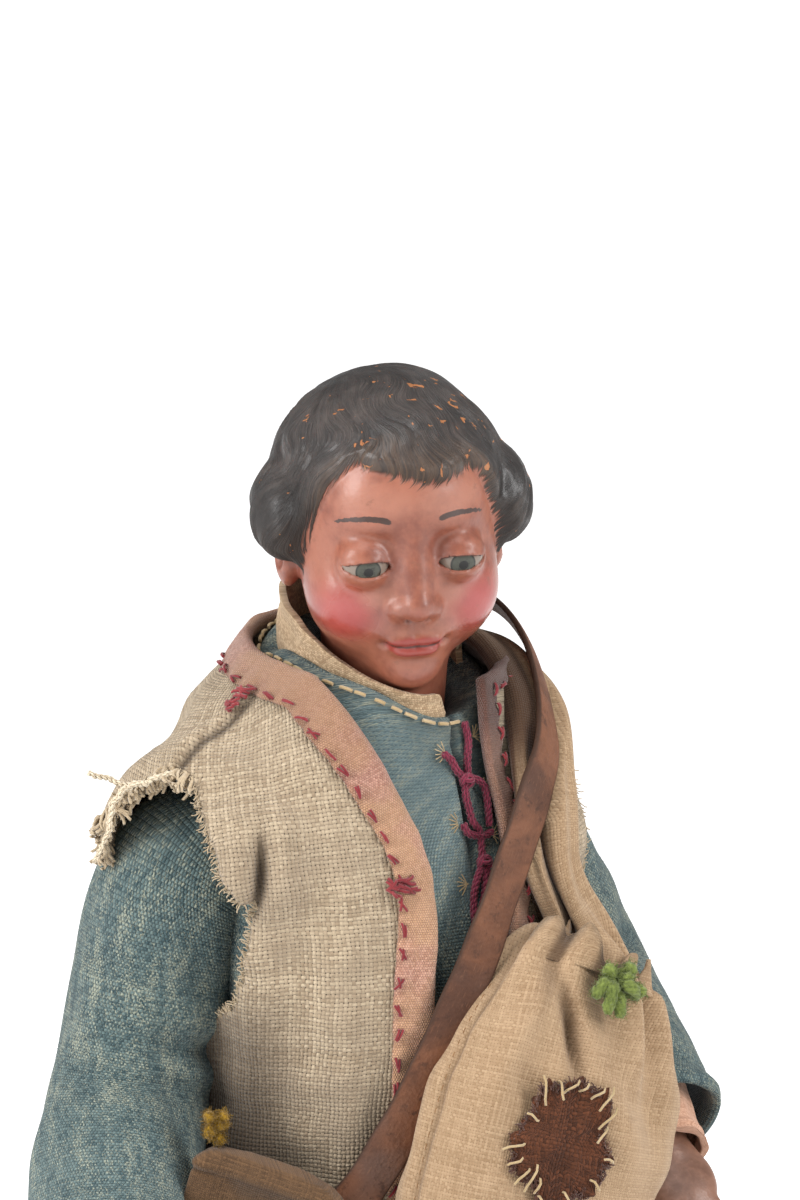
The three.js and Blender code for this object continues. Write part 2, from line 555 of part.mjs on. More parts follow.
// Head as rays from its middle, closest together on the face
function makeHead(toLocal) {
  const neckFoot = V(NECK.x, NECK.y, NECK.z - 6).applyMatrix4(toLocal);
  const centre = V(0, 0, -2);
  const inside = (ray, reach) => {
    return headDistance(centre.clone().addScaledVector(ray, reach), neckFoot) < 0;
  };
  const skin = ringSolid(20, 27, (t, around) => {
    const open = 0.05 + (Math.PI - 0.1) * (0.45 * t + 0.55 * t * t);
    const angle = around * 2 * Math.PI;
    const ray = V(Math.sin(open) * Math.cos(angle), -Math.cos(open), Math.sin(open) * Math.sin(angle));
    let high = 62; // farther out than any part of it
    while (high > 5 && !inside(ray, high - 1)) high -= 1;
    let low = high - 1;
    for (let k = 0; k < 9; k++) {
      const middle = (low + high) / 2;
      if (inside(ray, middle)) low = middle;
      else high = middle;
    }
    return centre.clone().addScaledVector(ray, low);
  });
  const sockets = [-1, 1].map((side) => eyeball(side, GAP));
  const below = collarBand(0, 40, -60, 0, 16).transform(toLocal.elements);
  return cut(skin, ...sockets, below);
}

function eyeball(side, grow = 0) {
  const globe = new THREE.SphereGeometry(EYE.radius + grow, 10, 6);
  return solidFrom(globe.translate(side * EYE.apart, EYE.y, EYE.up));
}

// Ring in the collar's own tilted plane.
// Low and high are heights above the neckline, which may vary round it.
function collarBand(inner, outer, low, high, columns = 24) {
  const { wide, deep, y, z, rise } = COLLAR;
  const level = (height, angle) => (typeof height === "function" ? height(angle) : height);
  const ring = (grow, from, to) =>
    ringSolid(1, columns, (t, around) => {
      const angle = around * 2 * Math.PI;
      const up = t ? level(to, angle) : level(from, angle);
      const lean = up > 0 ? Math.min(up, COLLAR_HEIGHT.side) * COLLAR_HEIGHT.lean : 0;
      const back = (deep + grow - lean) * Math.sin(angle);
      return V((wide + grow - lean) * Math.cos(angle), y + back, z + rise * back + up);
    });
  if (!inner) return ring(outer - wide, low, high);
  const above = (angle) => level(high, angle) + 1;
  return cut(ring(outer - wide, low, high), ring(inner - wide, low - 1, above));
}

// Shirt collar: a standing band, high behind and low in front, that stops at the slit
function makeCollar() {
  const { wide, wall } = COLLAR;
  const { front, side, nape } = COLLAR_HEIGHT;
  const height = (angle) => {
    const back = 0.5 + 0.5 * Math.sin(angle);
    const sides = (side - front) * Math.sin(back * Math.PI * 0.85) ** 0.8;
    return front + sides + (nape - front) * bump(back - 1, 0.35);
  };
  const { right, left, back, depth, height: tall } = COLLAR_GAP;
  const block = new THREE.BoxGeometry(left - right, depth, tall);
  const gap = solidFrom(block.translate((right + left) / 2, back - depth / 2, COLLAR.z));
  return largest(cut(collarBand(wide - wall, wide, 0, height), gap));
}

// Tunic: body and sleeves, with room for the neck, the breeches and the wrists
function makeTunic(...spaces) {
  const torso = bodySolid(tunicSurface, 0, BODY_MESH.rows, BODY_MESH.columns);
  const sleeves = [rightSleeve, leftSleeve].map((surface) => sleeveSolid(surface, 0));
  const neckWell = collarBand(0, COLLAR.wide + GAP, -GAP, 30, 24);
  const { wide, deep, foot } = SEAT_WELL;
  const seatWell = ringSolid(1, 24, (t, around) => {
    const angle = around * 2 * Math.PI;
    const up = foot + (BREECHES.waist + GAP - foot) * t;
    return V(wide * Math.cos(angle), deep * Math.sin(angle) + SEAT.y, up);
  });
  return largest(cut(union(torso, ...sleeves), neckWell, seatWell, ...spaces));
}

// The tunic's sleeves grown by a clearance, for cutting what lies against them
const sleeveSpace = () => [rightSleeve, leftSleeve].map((surface) => sleeveSolid(surface, GAP));

// Waistcoat: a shell over tunic and shoulders, open in front and at the arms
function makeWaistcoat() {
  const { rows, columns } = BODY_MESH;
  const shell = bodySolid(waistcoatSurface, 0, rows, columns);
  const lining = bodySolid(waistcoatSurface, -LINEN, rows, columns, 10);
  const armholes = [-1, 1].map((side) => {
    const { wide, deep, high, x, y, z } = ARMHOLE;
    const hole = new THREE.SphereGeometry(1, 10, 7).scale(wide, deep, high);
    return solidFrom(hole.translate(side * x, y, z));
  });
  return largest(cut(shell, lining, ...armholes, ...sleeveSpace(), frontOpening()));
}

// Angle of one of the waistcoat's front edges at a level
function edgeAngle(at, onLeft) {
  const { wide, slim } = track(WAISTCOAT)(at);
  const x = track(onLeft ? LEFT_EDGE : RIGHT_EDGE)(at).x;
  const angle = -Math.acos(THREE.MathUtils.clamp(x / (wide - (onLeft ? slim : 0)), -1, 1));
  return onLeft ? angle - 2 * Math.PI : angle;
}

// The space between the waistcoat's front edges
function frontOpening() {
  const steps = 9;
  const beyond = (i) => (i === 0 ? -8 : i === steps ? 9 : 0);
  const side = (i, onLeft) => {
    const { x, z } = waistcoatSurface(i / steps, edgeAngle(i / steps, onLeft));
    return new THREE.Vector2(x, z + beyond(i));
  };
  const outline = [];
  for (let i = 0; i <= steps; i++) outline.push(side(i, false));
  for (let i = steps; i >= 0; i--) outline.push(side(i, true));
  const shape = new THREE.Shape(outline);
  const block = new THREE.ExtrudeGeometry(shape, { depth: 60, bevelEnabled: false });
  return solidFrom(block.rotateX(Math.PI / 2).translate(0, -6, 0));
}

// The waistcoat's edge: up its right front, round the back of the neck, and down its left front
function edgePlace(t) {
  const share = 0.38; // of the whole edge, for each front
  if (t < share) return { at: t / share, angle: edgeAngle(t / share, false) };
  if (t > 1 - share) return { at: (1 - t) / share, angle: edgeAngle((1 - t) / share, true) };
  const [right, left] = [edgeAngle(1, false), edgeAngle(1, true)];
  return { at: 1, angle: right + ((left - right) * (t - share)) / (1 - 2 * share) };
}

// Ribbon: a band along that edge, lying on the waistcoat
function makeRibbon() {
  const { width, thickness, steps, inset, lift } = RIBBON;
  const place = (t) => {
    const { at, angle } = edgePlace(t);
    return waistcoatSurface(at, angle);
  };
  return ringSolid(steps, 6, (t, around) => {
    const { at, angle } = edgePlace(t);
    const step = 0.01;
    const along = place(Math.min(t + step, 1)).sub(place(Math.max(t - step, 0)));
    const corner = Math.round(around * 6);
    const across = (corner < 3 ? corner : 5 - corner) / 2;
    const under = GAP + 0.15 + (lift - 0.15) * THREE.MathUtils.smoothstep(at, 0.7, 0.92);
    const grow = under + (corner < 3 ? 0 : thickness);
    return slide(at, angle, along.normalize(), inset + across * width, grow);
  });
}

// A place on the waistcoat at a distance across from its edge, away from the opening
function slide(at, angle, along, distance, grow) {
  const pieces = 3;
  const step = 0.004;
  for (let i = 0; i < pieces; i++) {
    const away = normalAt(waistcoatSurface, at, angle).cross(along).normalize();
    const here = waistcoatSurface(at, angle);
    const low = Math.min(at, 1 - step);
    const up = waistcoatSurface(low + step, angle).sub(waistcoatSurface(low, angle));
    const round = waistcoatSurface(at, angle + step).sub(here);
    const [a, b, c] = [up.dot(up), up.dot(round), round.dot(round)];
    const [u, v] = [away.dot(up), away.dot(round)];
    const det = a * c - b * b;
    const move = (distance / pieces) * step;
    at = Math.min(at + (move * (u * c - v * b)) / det, 1);
    angle += (move * (v * a - u * b)) / det;
  }
  return waistcoatSurface(at, angle).addScaledVector(normalAt(waistcoatSurface, at, angle), grow);
}

// Tube of cord along points
function cord(points, radius, steps, sides = 4) {
  const line = new THREE.CatmullRomCurve3(points);
  return ringSolid(steps, sides, (t, around) => {
    const along = line.getTangent(t);
    const side = along.clone().cross(V(0.1, 1, 0.2)).normalize();
    const front = side.clone().cross(along);
    const angle = around * 2 * Math.PI;
    side.multiplyScalar(radius * Math.cos(angle));
    return line.getPoint(t).add(side).addScaledVector(front, radius * Math.sin(angle));
  });
}

// The place on the tunic's front at a distance from the middle and a height
function onTunicFront(x, z, grow) {
  let low = 0;
  let high = 1;
  const surface = (at) => {
    const half = track(TUNIC)(at).wide;
    return tunicSurface(at, -Math.acos(THREE.MathUtils.clamp(x / half, -1, 1)), grow);
  };
  for (let k = 0; k < 24; k++) {
    const middle = (low + high) / 2;
    if (surface(middle).z < z) low = middle;
    else high = middle;
  }
  return surface(low);
}

function makeLacing() {
  const off = GAP + CORD + 0.25;
  const runs = LACES.map(({ x, z }) => {
    return cord(x.map((value, i) => onTunicFront(value, z[i], off)), CORD, 4);
  });
  const knots = KNOTS.map(({ x, z, radius }) => {
    const { x: cx, y, z: cz } = onTunicFront(x, z, GAP + radius);
    return solidFrom(new THREE.SphereGeometry(radius, 6, 4).translate(cx, y, cz));
  });
  return largest(union(...knots, ...runs));
}

// A tuft: short thick ends of wool that spread from a knot, as shares of its size
function makeTuft(size, ends) {
  const knot = solidFrom(new THREE.SphereGeometry(size * 0.5, 6, 4));
  const arms = ends.map(([x, y, z]) => {
    const points = [V(0, 0, 0), V(x * 0.5, y * 0.5, z * 0.6), V(x, y, z)];
    return cord(points.map((p) => p.multiplyScalar(size)), size * 0.28, 2);
  });
  return union(knot, ...arms);
}

// Strap: a closed loop over the left shoulder and round the right hip
function makeStrap(grow = 0) {
  const { width, thickness, steps } = STRAP;
  const line = new THREE.CatmullRomCurve3(STRAP_LINE.map(({ x, y, z }) => V(x, y, z)), true);
  const looks = new THREE.CatmullRomCurve3(STRAP_LINE.map(({ nx, ny, nz }) => V(nx, ny, nz)), true);
  return ringSolid(
    steps,
    4,
    (t, around) => {
      const along = line.getTangent(t);
      const out = looks.getPoint(t);
      out.addScaledVector(along, -out.dot(along)).normalize();
      const side = along.cross(out);
      const corner = Math.round(around * 4);
      const across = (corner === 1 || corner === 2 ? 1 : -1) * (width / 2 + grow);
      const off = corner > 1 ? thickness + grow : -grow;
      return line.getPoint(t).addScaledVector(side, across).addScaledVector(out, off);
    },
    true,
  );
}

// Sack: rings along its line, soft at the edges, with folds below the gather
const sackPlace = track(SACK);
function sackSurface(at, angle, grow = 0) {
  const here = sackPlace(at);
  const step = 0.004;
  const a = sackPlace(Math.max(at - step, 0));
  const b = sackPlace(Math.min(at + step, 1));
  const along = V(b.x - a.x, b.y - a.y, b.z - a.z).normalize();
  const out = V(here.nx, here.ny, here.nz);
  out.addScaledVector(along, -out.dot(along)).normalize();
  const side = out.clone().cross(along);
  const fold = 1 + 0.1 * Math.sin(angle * 5 + at * 9) * bump(at - 0.66, 0.09);
  const soft = (value) => Math.sign(value) * Math.abs(value) ** 0.85;
  return V(here.x, here.y, here.z)
    .addScaledVector(side, (here.wide * fold + grow) * soft(Math.cos(angle)))
    .addScaledVector(out, (here.thick * fold + grow) * soft(Math.sin(angle)));
}
const waistcoatSpace = () => {
  const grow = RIBBON.lift + RIBBON.thickness + 2 * GAP;
  return bodySolid(waistcoatSurface, grow, BODY_MESH.rows, BODY_MESH.columns);
};

function makeSack(strapSpace, handSpace) {
  const bag = ringSolid(20, 12, (t, around) => sackSurface(t, around * 2 * Math.PI));
  return largest(cut(bag, waistcoatSpace(), ...sleeveSpace(), strapSpace, handSpace));
}

// A place on the sack's outer face, with a frame that looks outwards
function onSack(at, turn, grow) {
  const angle = THREE.MathUtils.degToRad(turn);
  const place = sackSurface(at, angle, grow);
  const step = 0.02;
  const round = sackSurface(at, angle + step, grow).sub(place);
  const down = sackSurface(at + step, angle, grow).sub(place);
  const out = round.cross(down).normalize();
  const outward = out.dot(V(0, -1, 0)) < 0 ? out.negate() : out;
  return { place, frame: frameAt(place, outward, V(1, 0, 0)) };
}

// Patch: a thin frayed piece of cloth that follows the sack
function makePatch() {
  const { at, turn, long, wide, thickness } = PATCH;
  const centre = THREE.MathUtils.degToRad(turn);
  const face = (t, around, grow) => {
    const angle = around * 2 * Math.PI;
    const ragged = 1 + 0.07 * Math.sin(angle * 5) + 0.05 * Math.sin(angle * 3 + 1);
    const down = (long / SACK_LINE.length) * ragged * t * Math.sin(angle);
    const round = (wide / SACK_LINE.wide) * ragged * t * Math.cos(angle);
    return sackSurface(at + down, centre + round, grow);
  };
  const [low, high] = [GAP, GAP + thickness];
  return ringSolid(4, 12, (t, around) => {
    return t < 0.5 ? face(2 * t + 0.001, around, low) : face(2.001 - 2 * t, around, high);
  });
}

// Hip pouch: a soft flat bag
function makePouch(...spaces) {
  const { x, y, z, turn, tilt, wide, high, thick } = POUCH;
  const bag = ringSolid(6, 14, (t, around) => {
    const angle = around * 2 * Math.PI;
    const run = 2 * t - 1;
    const full = (1 - run ** 4) ** 0.5 * 0.93 + 0.07;
    const square = (value) => Math.sign(value) * Math.abs(value) ** 0.55;
    return V(
      wide * (1 - 0.06 * Math.sin(angle)) * full ** 0.4 * square(Math.cos(angle)),
      thick * full * (run + 0.15 * Math.sin(2 * angle)),
      high * full ** 0.4 * square(Math.sin(angle)),
    );
  });
  const place = new THREE.Matrix4()
    .makeRotationZ(THREE.MathUtils.degToRad(turn))
    .multiply(new THREE.Matrix4().makeRotationY(THREE.MathUtils.degToRad(tilt)))
    .setPosition(x, y, z);
  return largest(cut(bag.transform(place.elements), ...spaces));
}

const group = new THREE.Group();
function addPiece(name, body, material, parent = group) {
  const { vertProperties, triVerts } = body.getMesh();
  const geometry = new THREE.BufferGeometry();
  geometry.setAttribute("position", new THREE.BufferAttribute(vertProperties, 3));
  geometry.setIndex(new THREE.BufferAttribute(triVerts, 1));
  geometry.computeVertexNormals();
  const piece = new THREE.Mesh(geometry, material);
  piece.name = name;
  parent.add(piece);
}

// Head and eyes share a group that turns, nods and leans
const headGroup = new THREE.Group();
headGroup.position.set(HEAD.x, HEAD.y, HEAD.z);
headGroup.rotation.order = "ZXY";
headGroup.rotation.set(
  THREE.MathUtils.degToRad(HEAD.nod),
  THREE.MathUtils.degToRad(HEAD.lean),
  THREE.MathUtils.degToRad(HEAD.turn),
);
headGroup.updateMatrixWorld(true);
group.add(headGroup);
addPiece("head", makeHead(headGroup.matrixWorld.clone().invert()), MATERIALS.terracotta, headGroup);
addPiece("right_eye", eyeball(-1), MATERIALS.glass, headGroup);
addPiece("left_eye", eyeball(1), MATERIALS.glass, headGroup);

addPiece("base", makeBase(), MATERIALS.stand);
addPiece("right_leg", makeLeg(RIGHT_LEG, 8), MATERIALS.flesh);
addPiece("left_leg", makeLeg(LEFT_LEG, -22), MATERIALS.flesh);
addPiece("breeches", makeBreeches(), MATERIALS.brownWool);

// Wrists: hand, cuff and the hollow in the sleeve's end share one frame
const arms = [
  { name: "right", stops: RIGHT_SLEEVE, hint: V(1, -0.3, 0.5), curl: 0.34 },
  { name: "left", stops: LEFT_SLEEVE, hint: V(-0.87, 0.5, 0), curl: 0.3 },
].map((arm) => {
  const { end, along } = armEnd(arm.stops);
  return { ...arm, frame: frameAt(end, along, arm.hint) };
});
const alongArm = (frame, distance) => {
  return frame.clone().multiply(new THREE.Matrix4().makeTranslation(0, 0, distance));
};
for (const { name, frame, curl } of arms) {
  const { radius, wall, length, inside } = CUFF;
  const ring = cut(
    solidFrom(bar(-inside, length - inside, radius, radius + 0.3, 16)),
    solidFrom(bar(-inside - 1, length - inside + 1, radius - wall, radius - wall, 16)),
  );
  addPiece(name + "_cuff", ring.transform(frame.elements), MATERIALS.peachCloth);
  const hand = makeHand(curl).transform(alongArm(frame, HAND.inCuff).elements);
  addPiece(name + "_hand", hand, MATERIALS.flesh);
}
const wristHoles = arms.map(({ frame }) => {
  const { depth, radius: hole, flare } = SLEEVE_END;
  return solidFrom(bar(-depth, 4, hole, hole + flare, 16), frame);
});
const strapSpace = makeStrap(GAP);
addPiece("tunic", makeTunic(strapSpace, ...wristHoles), MATERIALS.blueWool);
addPiece("shirt_collar", makeCollar(), MATERIALS.creamLinen);
addPiece("waistcoat", makeWaistcoat(), MATERIALS.linen);
addPiece("ribbon_binding", makeRibbon(), MATERIALS.ribbon);
addPiece("lacing", makeLacing(), MATERIALS.crimson);
addPiece("strap", makeStrap(), MATERIALS.leather);

const { length, inside, radius } = CUFF;
const cuffSpace = solidFrom(bar(-2, length - inside + 1, radius + 0.7, radius + 0.7, 16), arms[1].frame);
addPiece("sack", makeSack(strapSpace, cuffSpace), MATERIALS.sackLinen);
addPiece("sack_patch", makePatch(), MATERIALS.brownWool);
const knot = onSack(SACK_TIE.at, SACK_TIE.turn, GAP + SACK_TIE.size * 0.5);
const greenEnds = [[-1.1, -0.9, 0.1], [-0.2, -1.5, 0.2], [1.2, -0.9, 0.1], [0.9, 0.7, 0.1]];
addPiece("sack_tie", makeTuft(SACK_TIE.size, greenEnds).transform(knot.frame.elements), MATERIALS.greenWool);
const skirtSpace = bodySolid(tunicSurface, GAP, BODY_MESH.rows, BODY_MESH.columns);
const pouch = makePouch(waistcoatSpace(), skirtSpace, ...sleeveSpace(), strapSpace);
addPiece("hip_pouch", pouch, MATERIALS.sackLinen);
const above = new THREE.Matrix4().makeTranslation(POUCH_TIE.x, POUCH_TIE.y, POUCH_TIE.z);
const yellowEnds = [[-0.5, -0.5, 1.1], [0.7, -0.7, 0.9], [0.4, -0.6, -1.1]];
addPiece("pouch_tie", makeTuft(POUCH_TIE.size, yellowEnds).transform(above.elements), MATERIALS.yellowWool);

export default group;
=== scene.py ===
# Looks of a dressed crib figure: painted clay head, carved limbs, and clothes of wool, linen and leather.
# Shapes are reckoned in millimetres and stored in metres. The figure faces -Y; its left side is +X.
import math

import bmesh
import bpy
import numpy as np
from mathutils import Matrix, Vector


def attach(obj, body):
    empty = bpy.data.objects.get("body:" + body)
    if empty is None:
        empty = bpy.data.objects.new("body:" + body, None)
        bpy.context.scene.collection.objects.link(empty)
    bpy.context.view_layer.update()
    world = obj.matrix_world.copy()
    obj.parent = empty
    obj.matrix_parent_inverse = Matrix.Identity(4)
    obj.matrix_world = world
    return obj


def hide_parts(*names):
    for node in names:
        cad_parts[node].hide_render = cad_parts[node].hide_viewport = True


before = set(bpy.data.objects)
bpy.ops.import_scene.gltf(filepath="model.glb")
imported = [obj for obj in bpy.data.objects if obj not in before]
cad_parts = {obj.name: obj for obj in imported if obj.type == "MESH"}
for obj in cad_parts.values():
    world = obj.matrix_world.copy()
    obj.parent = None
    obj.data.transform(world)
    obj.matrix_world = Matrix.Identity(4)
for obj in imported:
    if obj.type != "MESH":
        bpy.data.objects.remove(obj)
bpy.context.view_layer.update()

PI = math.pi


# Camera: the photo's view, from the figure's front right and a little above
AIM = Vector((0.00485, -0.0028, 0.314))
VIEW_TURN, VIEW_RISE, VIEW_DISTANCE = -30, 9, 0.8
LENS, SENSOR_WIDTH, NEAREST = 120, 36, 0.01

# Lamps: turn and rise in degrees, width and height in metres, watts
LAMPS = {
    "soft_left": (-92, 24, 0.6, 1.0, 21),
    "soft_right": (34, 26, 0.45, 1.0, 15),
    "soft_top": (-40, 74, 0.9, 0.9, 9),
}
LAMP_AIM, LAMP_DISTANCE = Vector((0, 0, 0.25)), 1.4
ROOM_LIGHT = 0.36

# Floor: a wide disc that glows. Far out it glows evenly; near the figure the glow is dimmer, a painted shadow
# pool round it
FLOOR_RADIUS, FLOOR_HEIGHT, FLOOR_SIDES = 90, -0.0004, 48
FLOOR_GLOW = {"From Min": 0.15, "From Max": 0.6, "To Min": 0.3, "To Max": 0.9}
FLOOR_FINISH = {
    "Base Color": (0.6, 0.6, 0.6, 1), "Roughness": 0.9,
    "Specular IOR Level": 0.1, "Emission Color": (1, 1, 1, 1),
}


def direction(turn, rise):
    turn, rise = math.radians(turn), math.radians(rise)
    return Vector((math.sin(turn) * math.cos(rise), -math.cos(turn) * math.cos(rise), math.sin(rise)))


def linked(name, data):
    piece = bpy.data.objects.new(name, data)
    bpy.context.collection.objects.link(piece)
    return piece


def place_camera():
    back = direction(VIEW_TURN, VIEW_RISE)
    data = bpy.data.cameras.new("camera")
    data.lens, data.sensor_width, data.clip_start = LENS, SENSOR_WIDTH, NEAREST
    camera = linked("camera", data)
    camera.location = AIM + back * VIEW_DISTANCE
    camera.rotation_euler = (-back).to_track_quat("-Z", "Y").to_euler()
    bpy.context.scene.camera = camera


def place_lamps():
    for name, (turn, rise, wide, high, watts) in LAMPS.items():
        data = bpy.data.lights.new(name, "AREA")
        data.shape, data.size, data.size_y, data.energy = "RECTANGLE", wide, high, watts
        lamp = linked(name, data)
        back = direction(turn, rise)
        lamp.location = LAMP_AIM + back * LAMP_DISTANCE
        lamp.rotation_euler = back.to_track_quat("Z", "Y").to_euler()
    world = bpy.data.worlds.new("pale_room")
    bpy.context.scene.world = world
    world.use_nodes = True
    sky = world.node_tree.nodes["Background"].inputs
    sky["Color"].default_value, sky["Strength"].default_value = (1, 1, 1, 1), ROOM_LIGHT
    bpy.context.scene.view_settings.view_transform = "Standard"


def lay_floor():
    mesh = bpy.data.meshes.new("floor")
    turns = [2 * PI * k / FLOOR_SIDES for k in range(FLOOR_SIDES)]
    ring = [(FLOOR_RADIUS * math.cos(turn), FLOOR_RADIUS * math.sin(turn), FLOOR_HEIGHT) for turn in turns]
    mesh.from_pydata(ring, [], [list(range(FLOOR_SIDES))])
    pale = bpy.data.materials.new("pale_floor")
    pale.use_nodes = True
    tree = pale.node_tree
    shader = tree.nodes["Principled BSDF"]
    kinds = ("TexCoord", "VectorMath", "MapRange")
    place, far, glow = (tree.nodes.new("ShaderNode" + kind) for kind in kinds)
    far.operation = "LENGTH"
    glow.interpolation_type = "SMOOTHSTEP"
    for node, values in ((shader, FLOOR_FINISH), (glow, FLOOR_GLOW)):
        for key, value in values.items():
            node.inputs[key].default_value = value
    tree.links.new(place.outputs["Object"], far.inputs[0])
    tree.links.new(far.outputs["Value"], glow.inputs["Value"])
    # painted light: the floor's glow, dimmed near the figure as a painted shadow pool
    tree.links.new(glow.outputs["Result"], shader.inputs["Emission Strength"])
    mesh.materials.append(pale)
    floor = linked("floor", mesh)


place_camera()
place_lamps()
lay_floor()


# Curves and surfaces
def track(*rows):
    """Values between stops that start with their place, on a smooth curve through them"""
    rows = np.array(rows, float)
    at, values = rows[:, 0], rows[:, 1:]

    def value(t):
        t = np.clip(np.asarray(t, float), at[0], at[-1])
        b = np.clip(np.searchsorted(at, t), 1, len(at) - 1)
        a = b - 1
        before, after = np.maximum(a - 1, 0), np.minimum(b + 1, len(at) - 1)
        span = (at[b] - at[a])[..., None]
        s = (t - at[a])[..., None] / span
        slope_a = (values[b] - values[before]) / (at[b] - at[before])[..., None]
        slope_b = (values[after] - values[a]) / (at[after] - at[a])[..., None]
        s2, s3 = s * s, s * s * s
        curve = (2 * s3 - 3 * s2 + 1) * values[a] + (s3 - 2 * s2 + s) * span * slope_a
        return curve + (3 * s2 - 2 * s3) * values[b] + (s3 - s2) * span * slope_b

    return value


def smooth(x, low, high):
    t = np.clip((x - low) / (high - low), 0, 1)
    return t * t * (3 - 2 * t)


def bump(x, width):
    return np.exp(-((x / width) ** 2))


def unit(v):
    return v / np.maximum(np.linalg.norm(v, axis=-1, keepdims=True), 1e-9)


def ripples(place, size, seed, count=8):
    """Smooth undulation in space, between about -1 and 1"""
    rng = np.random.default_rng(seed)
    total = 0
    for _ in range(count):
        way = unit(rng.normal(size=3)) * 2 * PI / (size * rng.uniform(0.6, 1.7))
        total = total + np.sin(place @ way + rng.uniform(0, 2 * PI))
    return total / count**0.5


def mesh_grid(rows, columns, low=0.0, high=1.0):
    at, around = np.meshgrid(np.linspace(low, high, rows), np.linspace(0, 1, columns), indexing="ij")
    return at, around


def round_grid(rows, columns, low=0.0, high=1.0):
    """Places along, and angles once round"""
    at, around = mesh_grid(rows, columns, low, high)
    return at, around * 2 * PI


def turned_out(out, place, middle):
    """Each normal on the side away from its own middle"""
    return out * np.sign((out * (place - middle)).sum(-1, keepdims=True))


def upright(out, along):
    """The part of a look that is square to a course"""
    return unit(out - along * (out * along).sum(-1, keepdims=True))


def rows_of(values, width):
    """The values as columns, each repeated across a grid's width"""
    return np.repeat(np.array(values, float)[:, None], width, 1)


def grid_normals(place, loop):
    """Unit normals of a grid of places; its first and last columns are the same where it is a loop"""
    if loop:
        ring = place[:, :-1]
        across = np.roll(ring, -1, 1) - np.roll(ring, 1, 1)
        across = np.concatenate([across, across[:, :1]], 1)
    else:
        across = np.gradient(place, axis=1)
    return unit(np.cross(np.gradient(place, axis=0), across))


# Body levels, bottom to top: place, height, half width, how much slimmer on the left, half depth,
# middle, tilt
TUNIC = track(
    (0, 164, 41, 0, 33.5, 0, 0),
    (0.16, 188, 39, 0, 31.5, -1, 0),
    (0.34, 212, 35.5, 0, 29.5, -3, 0),
    (0.52, 240, 37, 0, 31, -4, 0),
    (0.66, 258, 38.5, 0, 30, -3.5, 0.02),
    (0.8, 277, 36.5, 0, 26.5, -2.5, 0.12),
    (0.9, 290, 31, 0, 24.5, -1.5, 0.26),
    (0.96, 298, 25, 0, 23.8, -1, 0.34),
    (1, 302, 20.6, 0, 23.2, -1, 0.38),
)
WAISTCOAT = track(
    (0, 184, 43.5, 1, 36, -1, 0),
    (0.25, 212, 39.5, 1, 33.4, -3, 0),
    (0.48, 240, 42, 2, 34.8, -4, 0),
    (0.62, 256, 50, 7, 34, -3, 0.02),
    (0.72, 267, 58, 13, 32.2, -2, 0.06),
    (0.8, 278, 55, 12, 30.4, -1.5, 0.13),
    (0.87, 286.5, 44.3, 6.3, 29.2, -1, 0.16),
    (0.94, 297.8, 31.6, 1.6, 27.8, -1, 0.18),
    (1, 305, 25.5, 0.5, 26.6, -1, 0.16),
)
RIGHT_EDGE = track(
    (0, -9), (0.3, -8.3), (0.48, -8.4), (0.7, -6.6), (0.78, -8),
    (0.84, -10.4), (0.89, -13.3), (0.94, -17.4), (1, -22),
)
LEFT_EDGE = track((0, 9.6), (0.48, 10.3), (0.68, 12.1), (0.82, 11.4), (0.92, 9.8), (1, 10.5))
ARMHOLE_AT, ARMHOLE_HALF = (51, -7.5, 257), (17, 16, 28)


def on_body(levels, at, angle, grow=0.0):
    """Rings round the body, grown outwards"""
    z, wide, slim, deep, y, rise = np.moveaxis(levels(at), -1, 0)
    cos, sin = np.cos(angle), np.sin(angle)
    back = sin * (deep + grow)
    up = np.maximum(0, (at - 0.72) / 0.28) * grow * 0.75
    across = cos * (wide - slim * (cos > 0) + grow)
    return np.stack([across, y + back, z + rise * back + up], -1)


# Sleeves, middle line and radius from shoulder to hem
SLEEVES = {
    "right": track(
        (0, -26, 4, 268, 14.5),
        (0.16, -39.5, 5, 261, 16.5),
        (0.4, -47, 6, 240, 16.4),
        (0.62, -53.5, 4, 217, 16),
        (0.82, -61.5, -6, 198, 15.2),
        (1, -68.5, -20, 183, 14.4),
    ),
    "left": track(
        (0, 24, 4, 271, 13),
        (0.16, 36, 7, 261, 14.5),
        (0.38, 47.5, 10, 245, 14.5),
        (0.58, 58, 11.5, 228, 12.8),
        (0.78, 59.5, -2, 214.5, 12.6),
        (1, 56.5, -18, 202, 13.4),
    ),
}
ELBOW_INSIDE = {"right": 3.6, "left": -0.45}
FOLD_SEED = {"right": 31, "left": 37}


def on_tube(line, at, angle, grow=0.0, radius=3):
    """A tube along named stops"""
    here = line(at)
    ahead, behind = line(np.minimum(at + 0.01, 1)), line(np.maximum(at - 0.01, 0))
    along = unit((ahead - behind)[..., :3])
    side = unit(np.cross(np.array([0, 1, 0.0]), along))
    front = np.cross(along, side)
    reach = (here[..., radius] + grow)[..., None]
    return here[..., :3] + reach * (np.cos(angle)[..., None] * side + np.sin(angle)[..., None] * front)


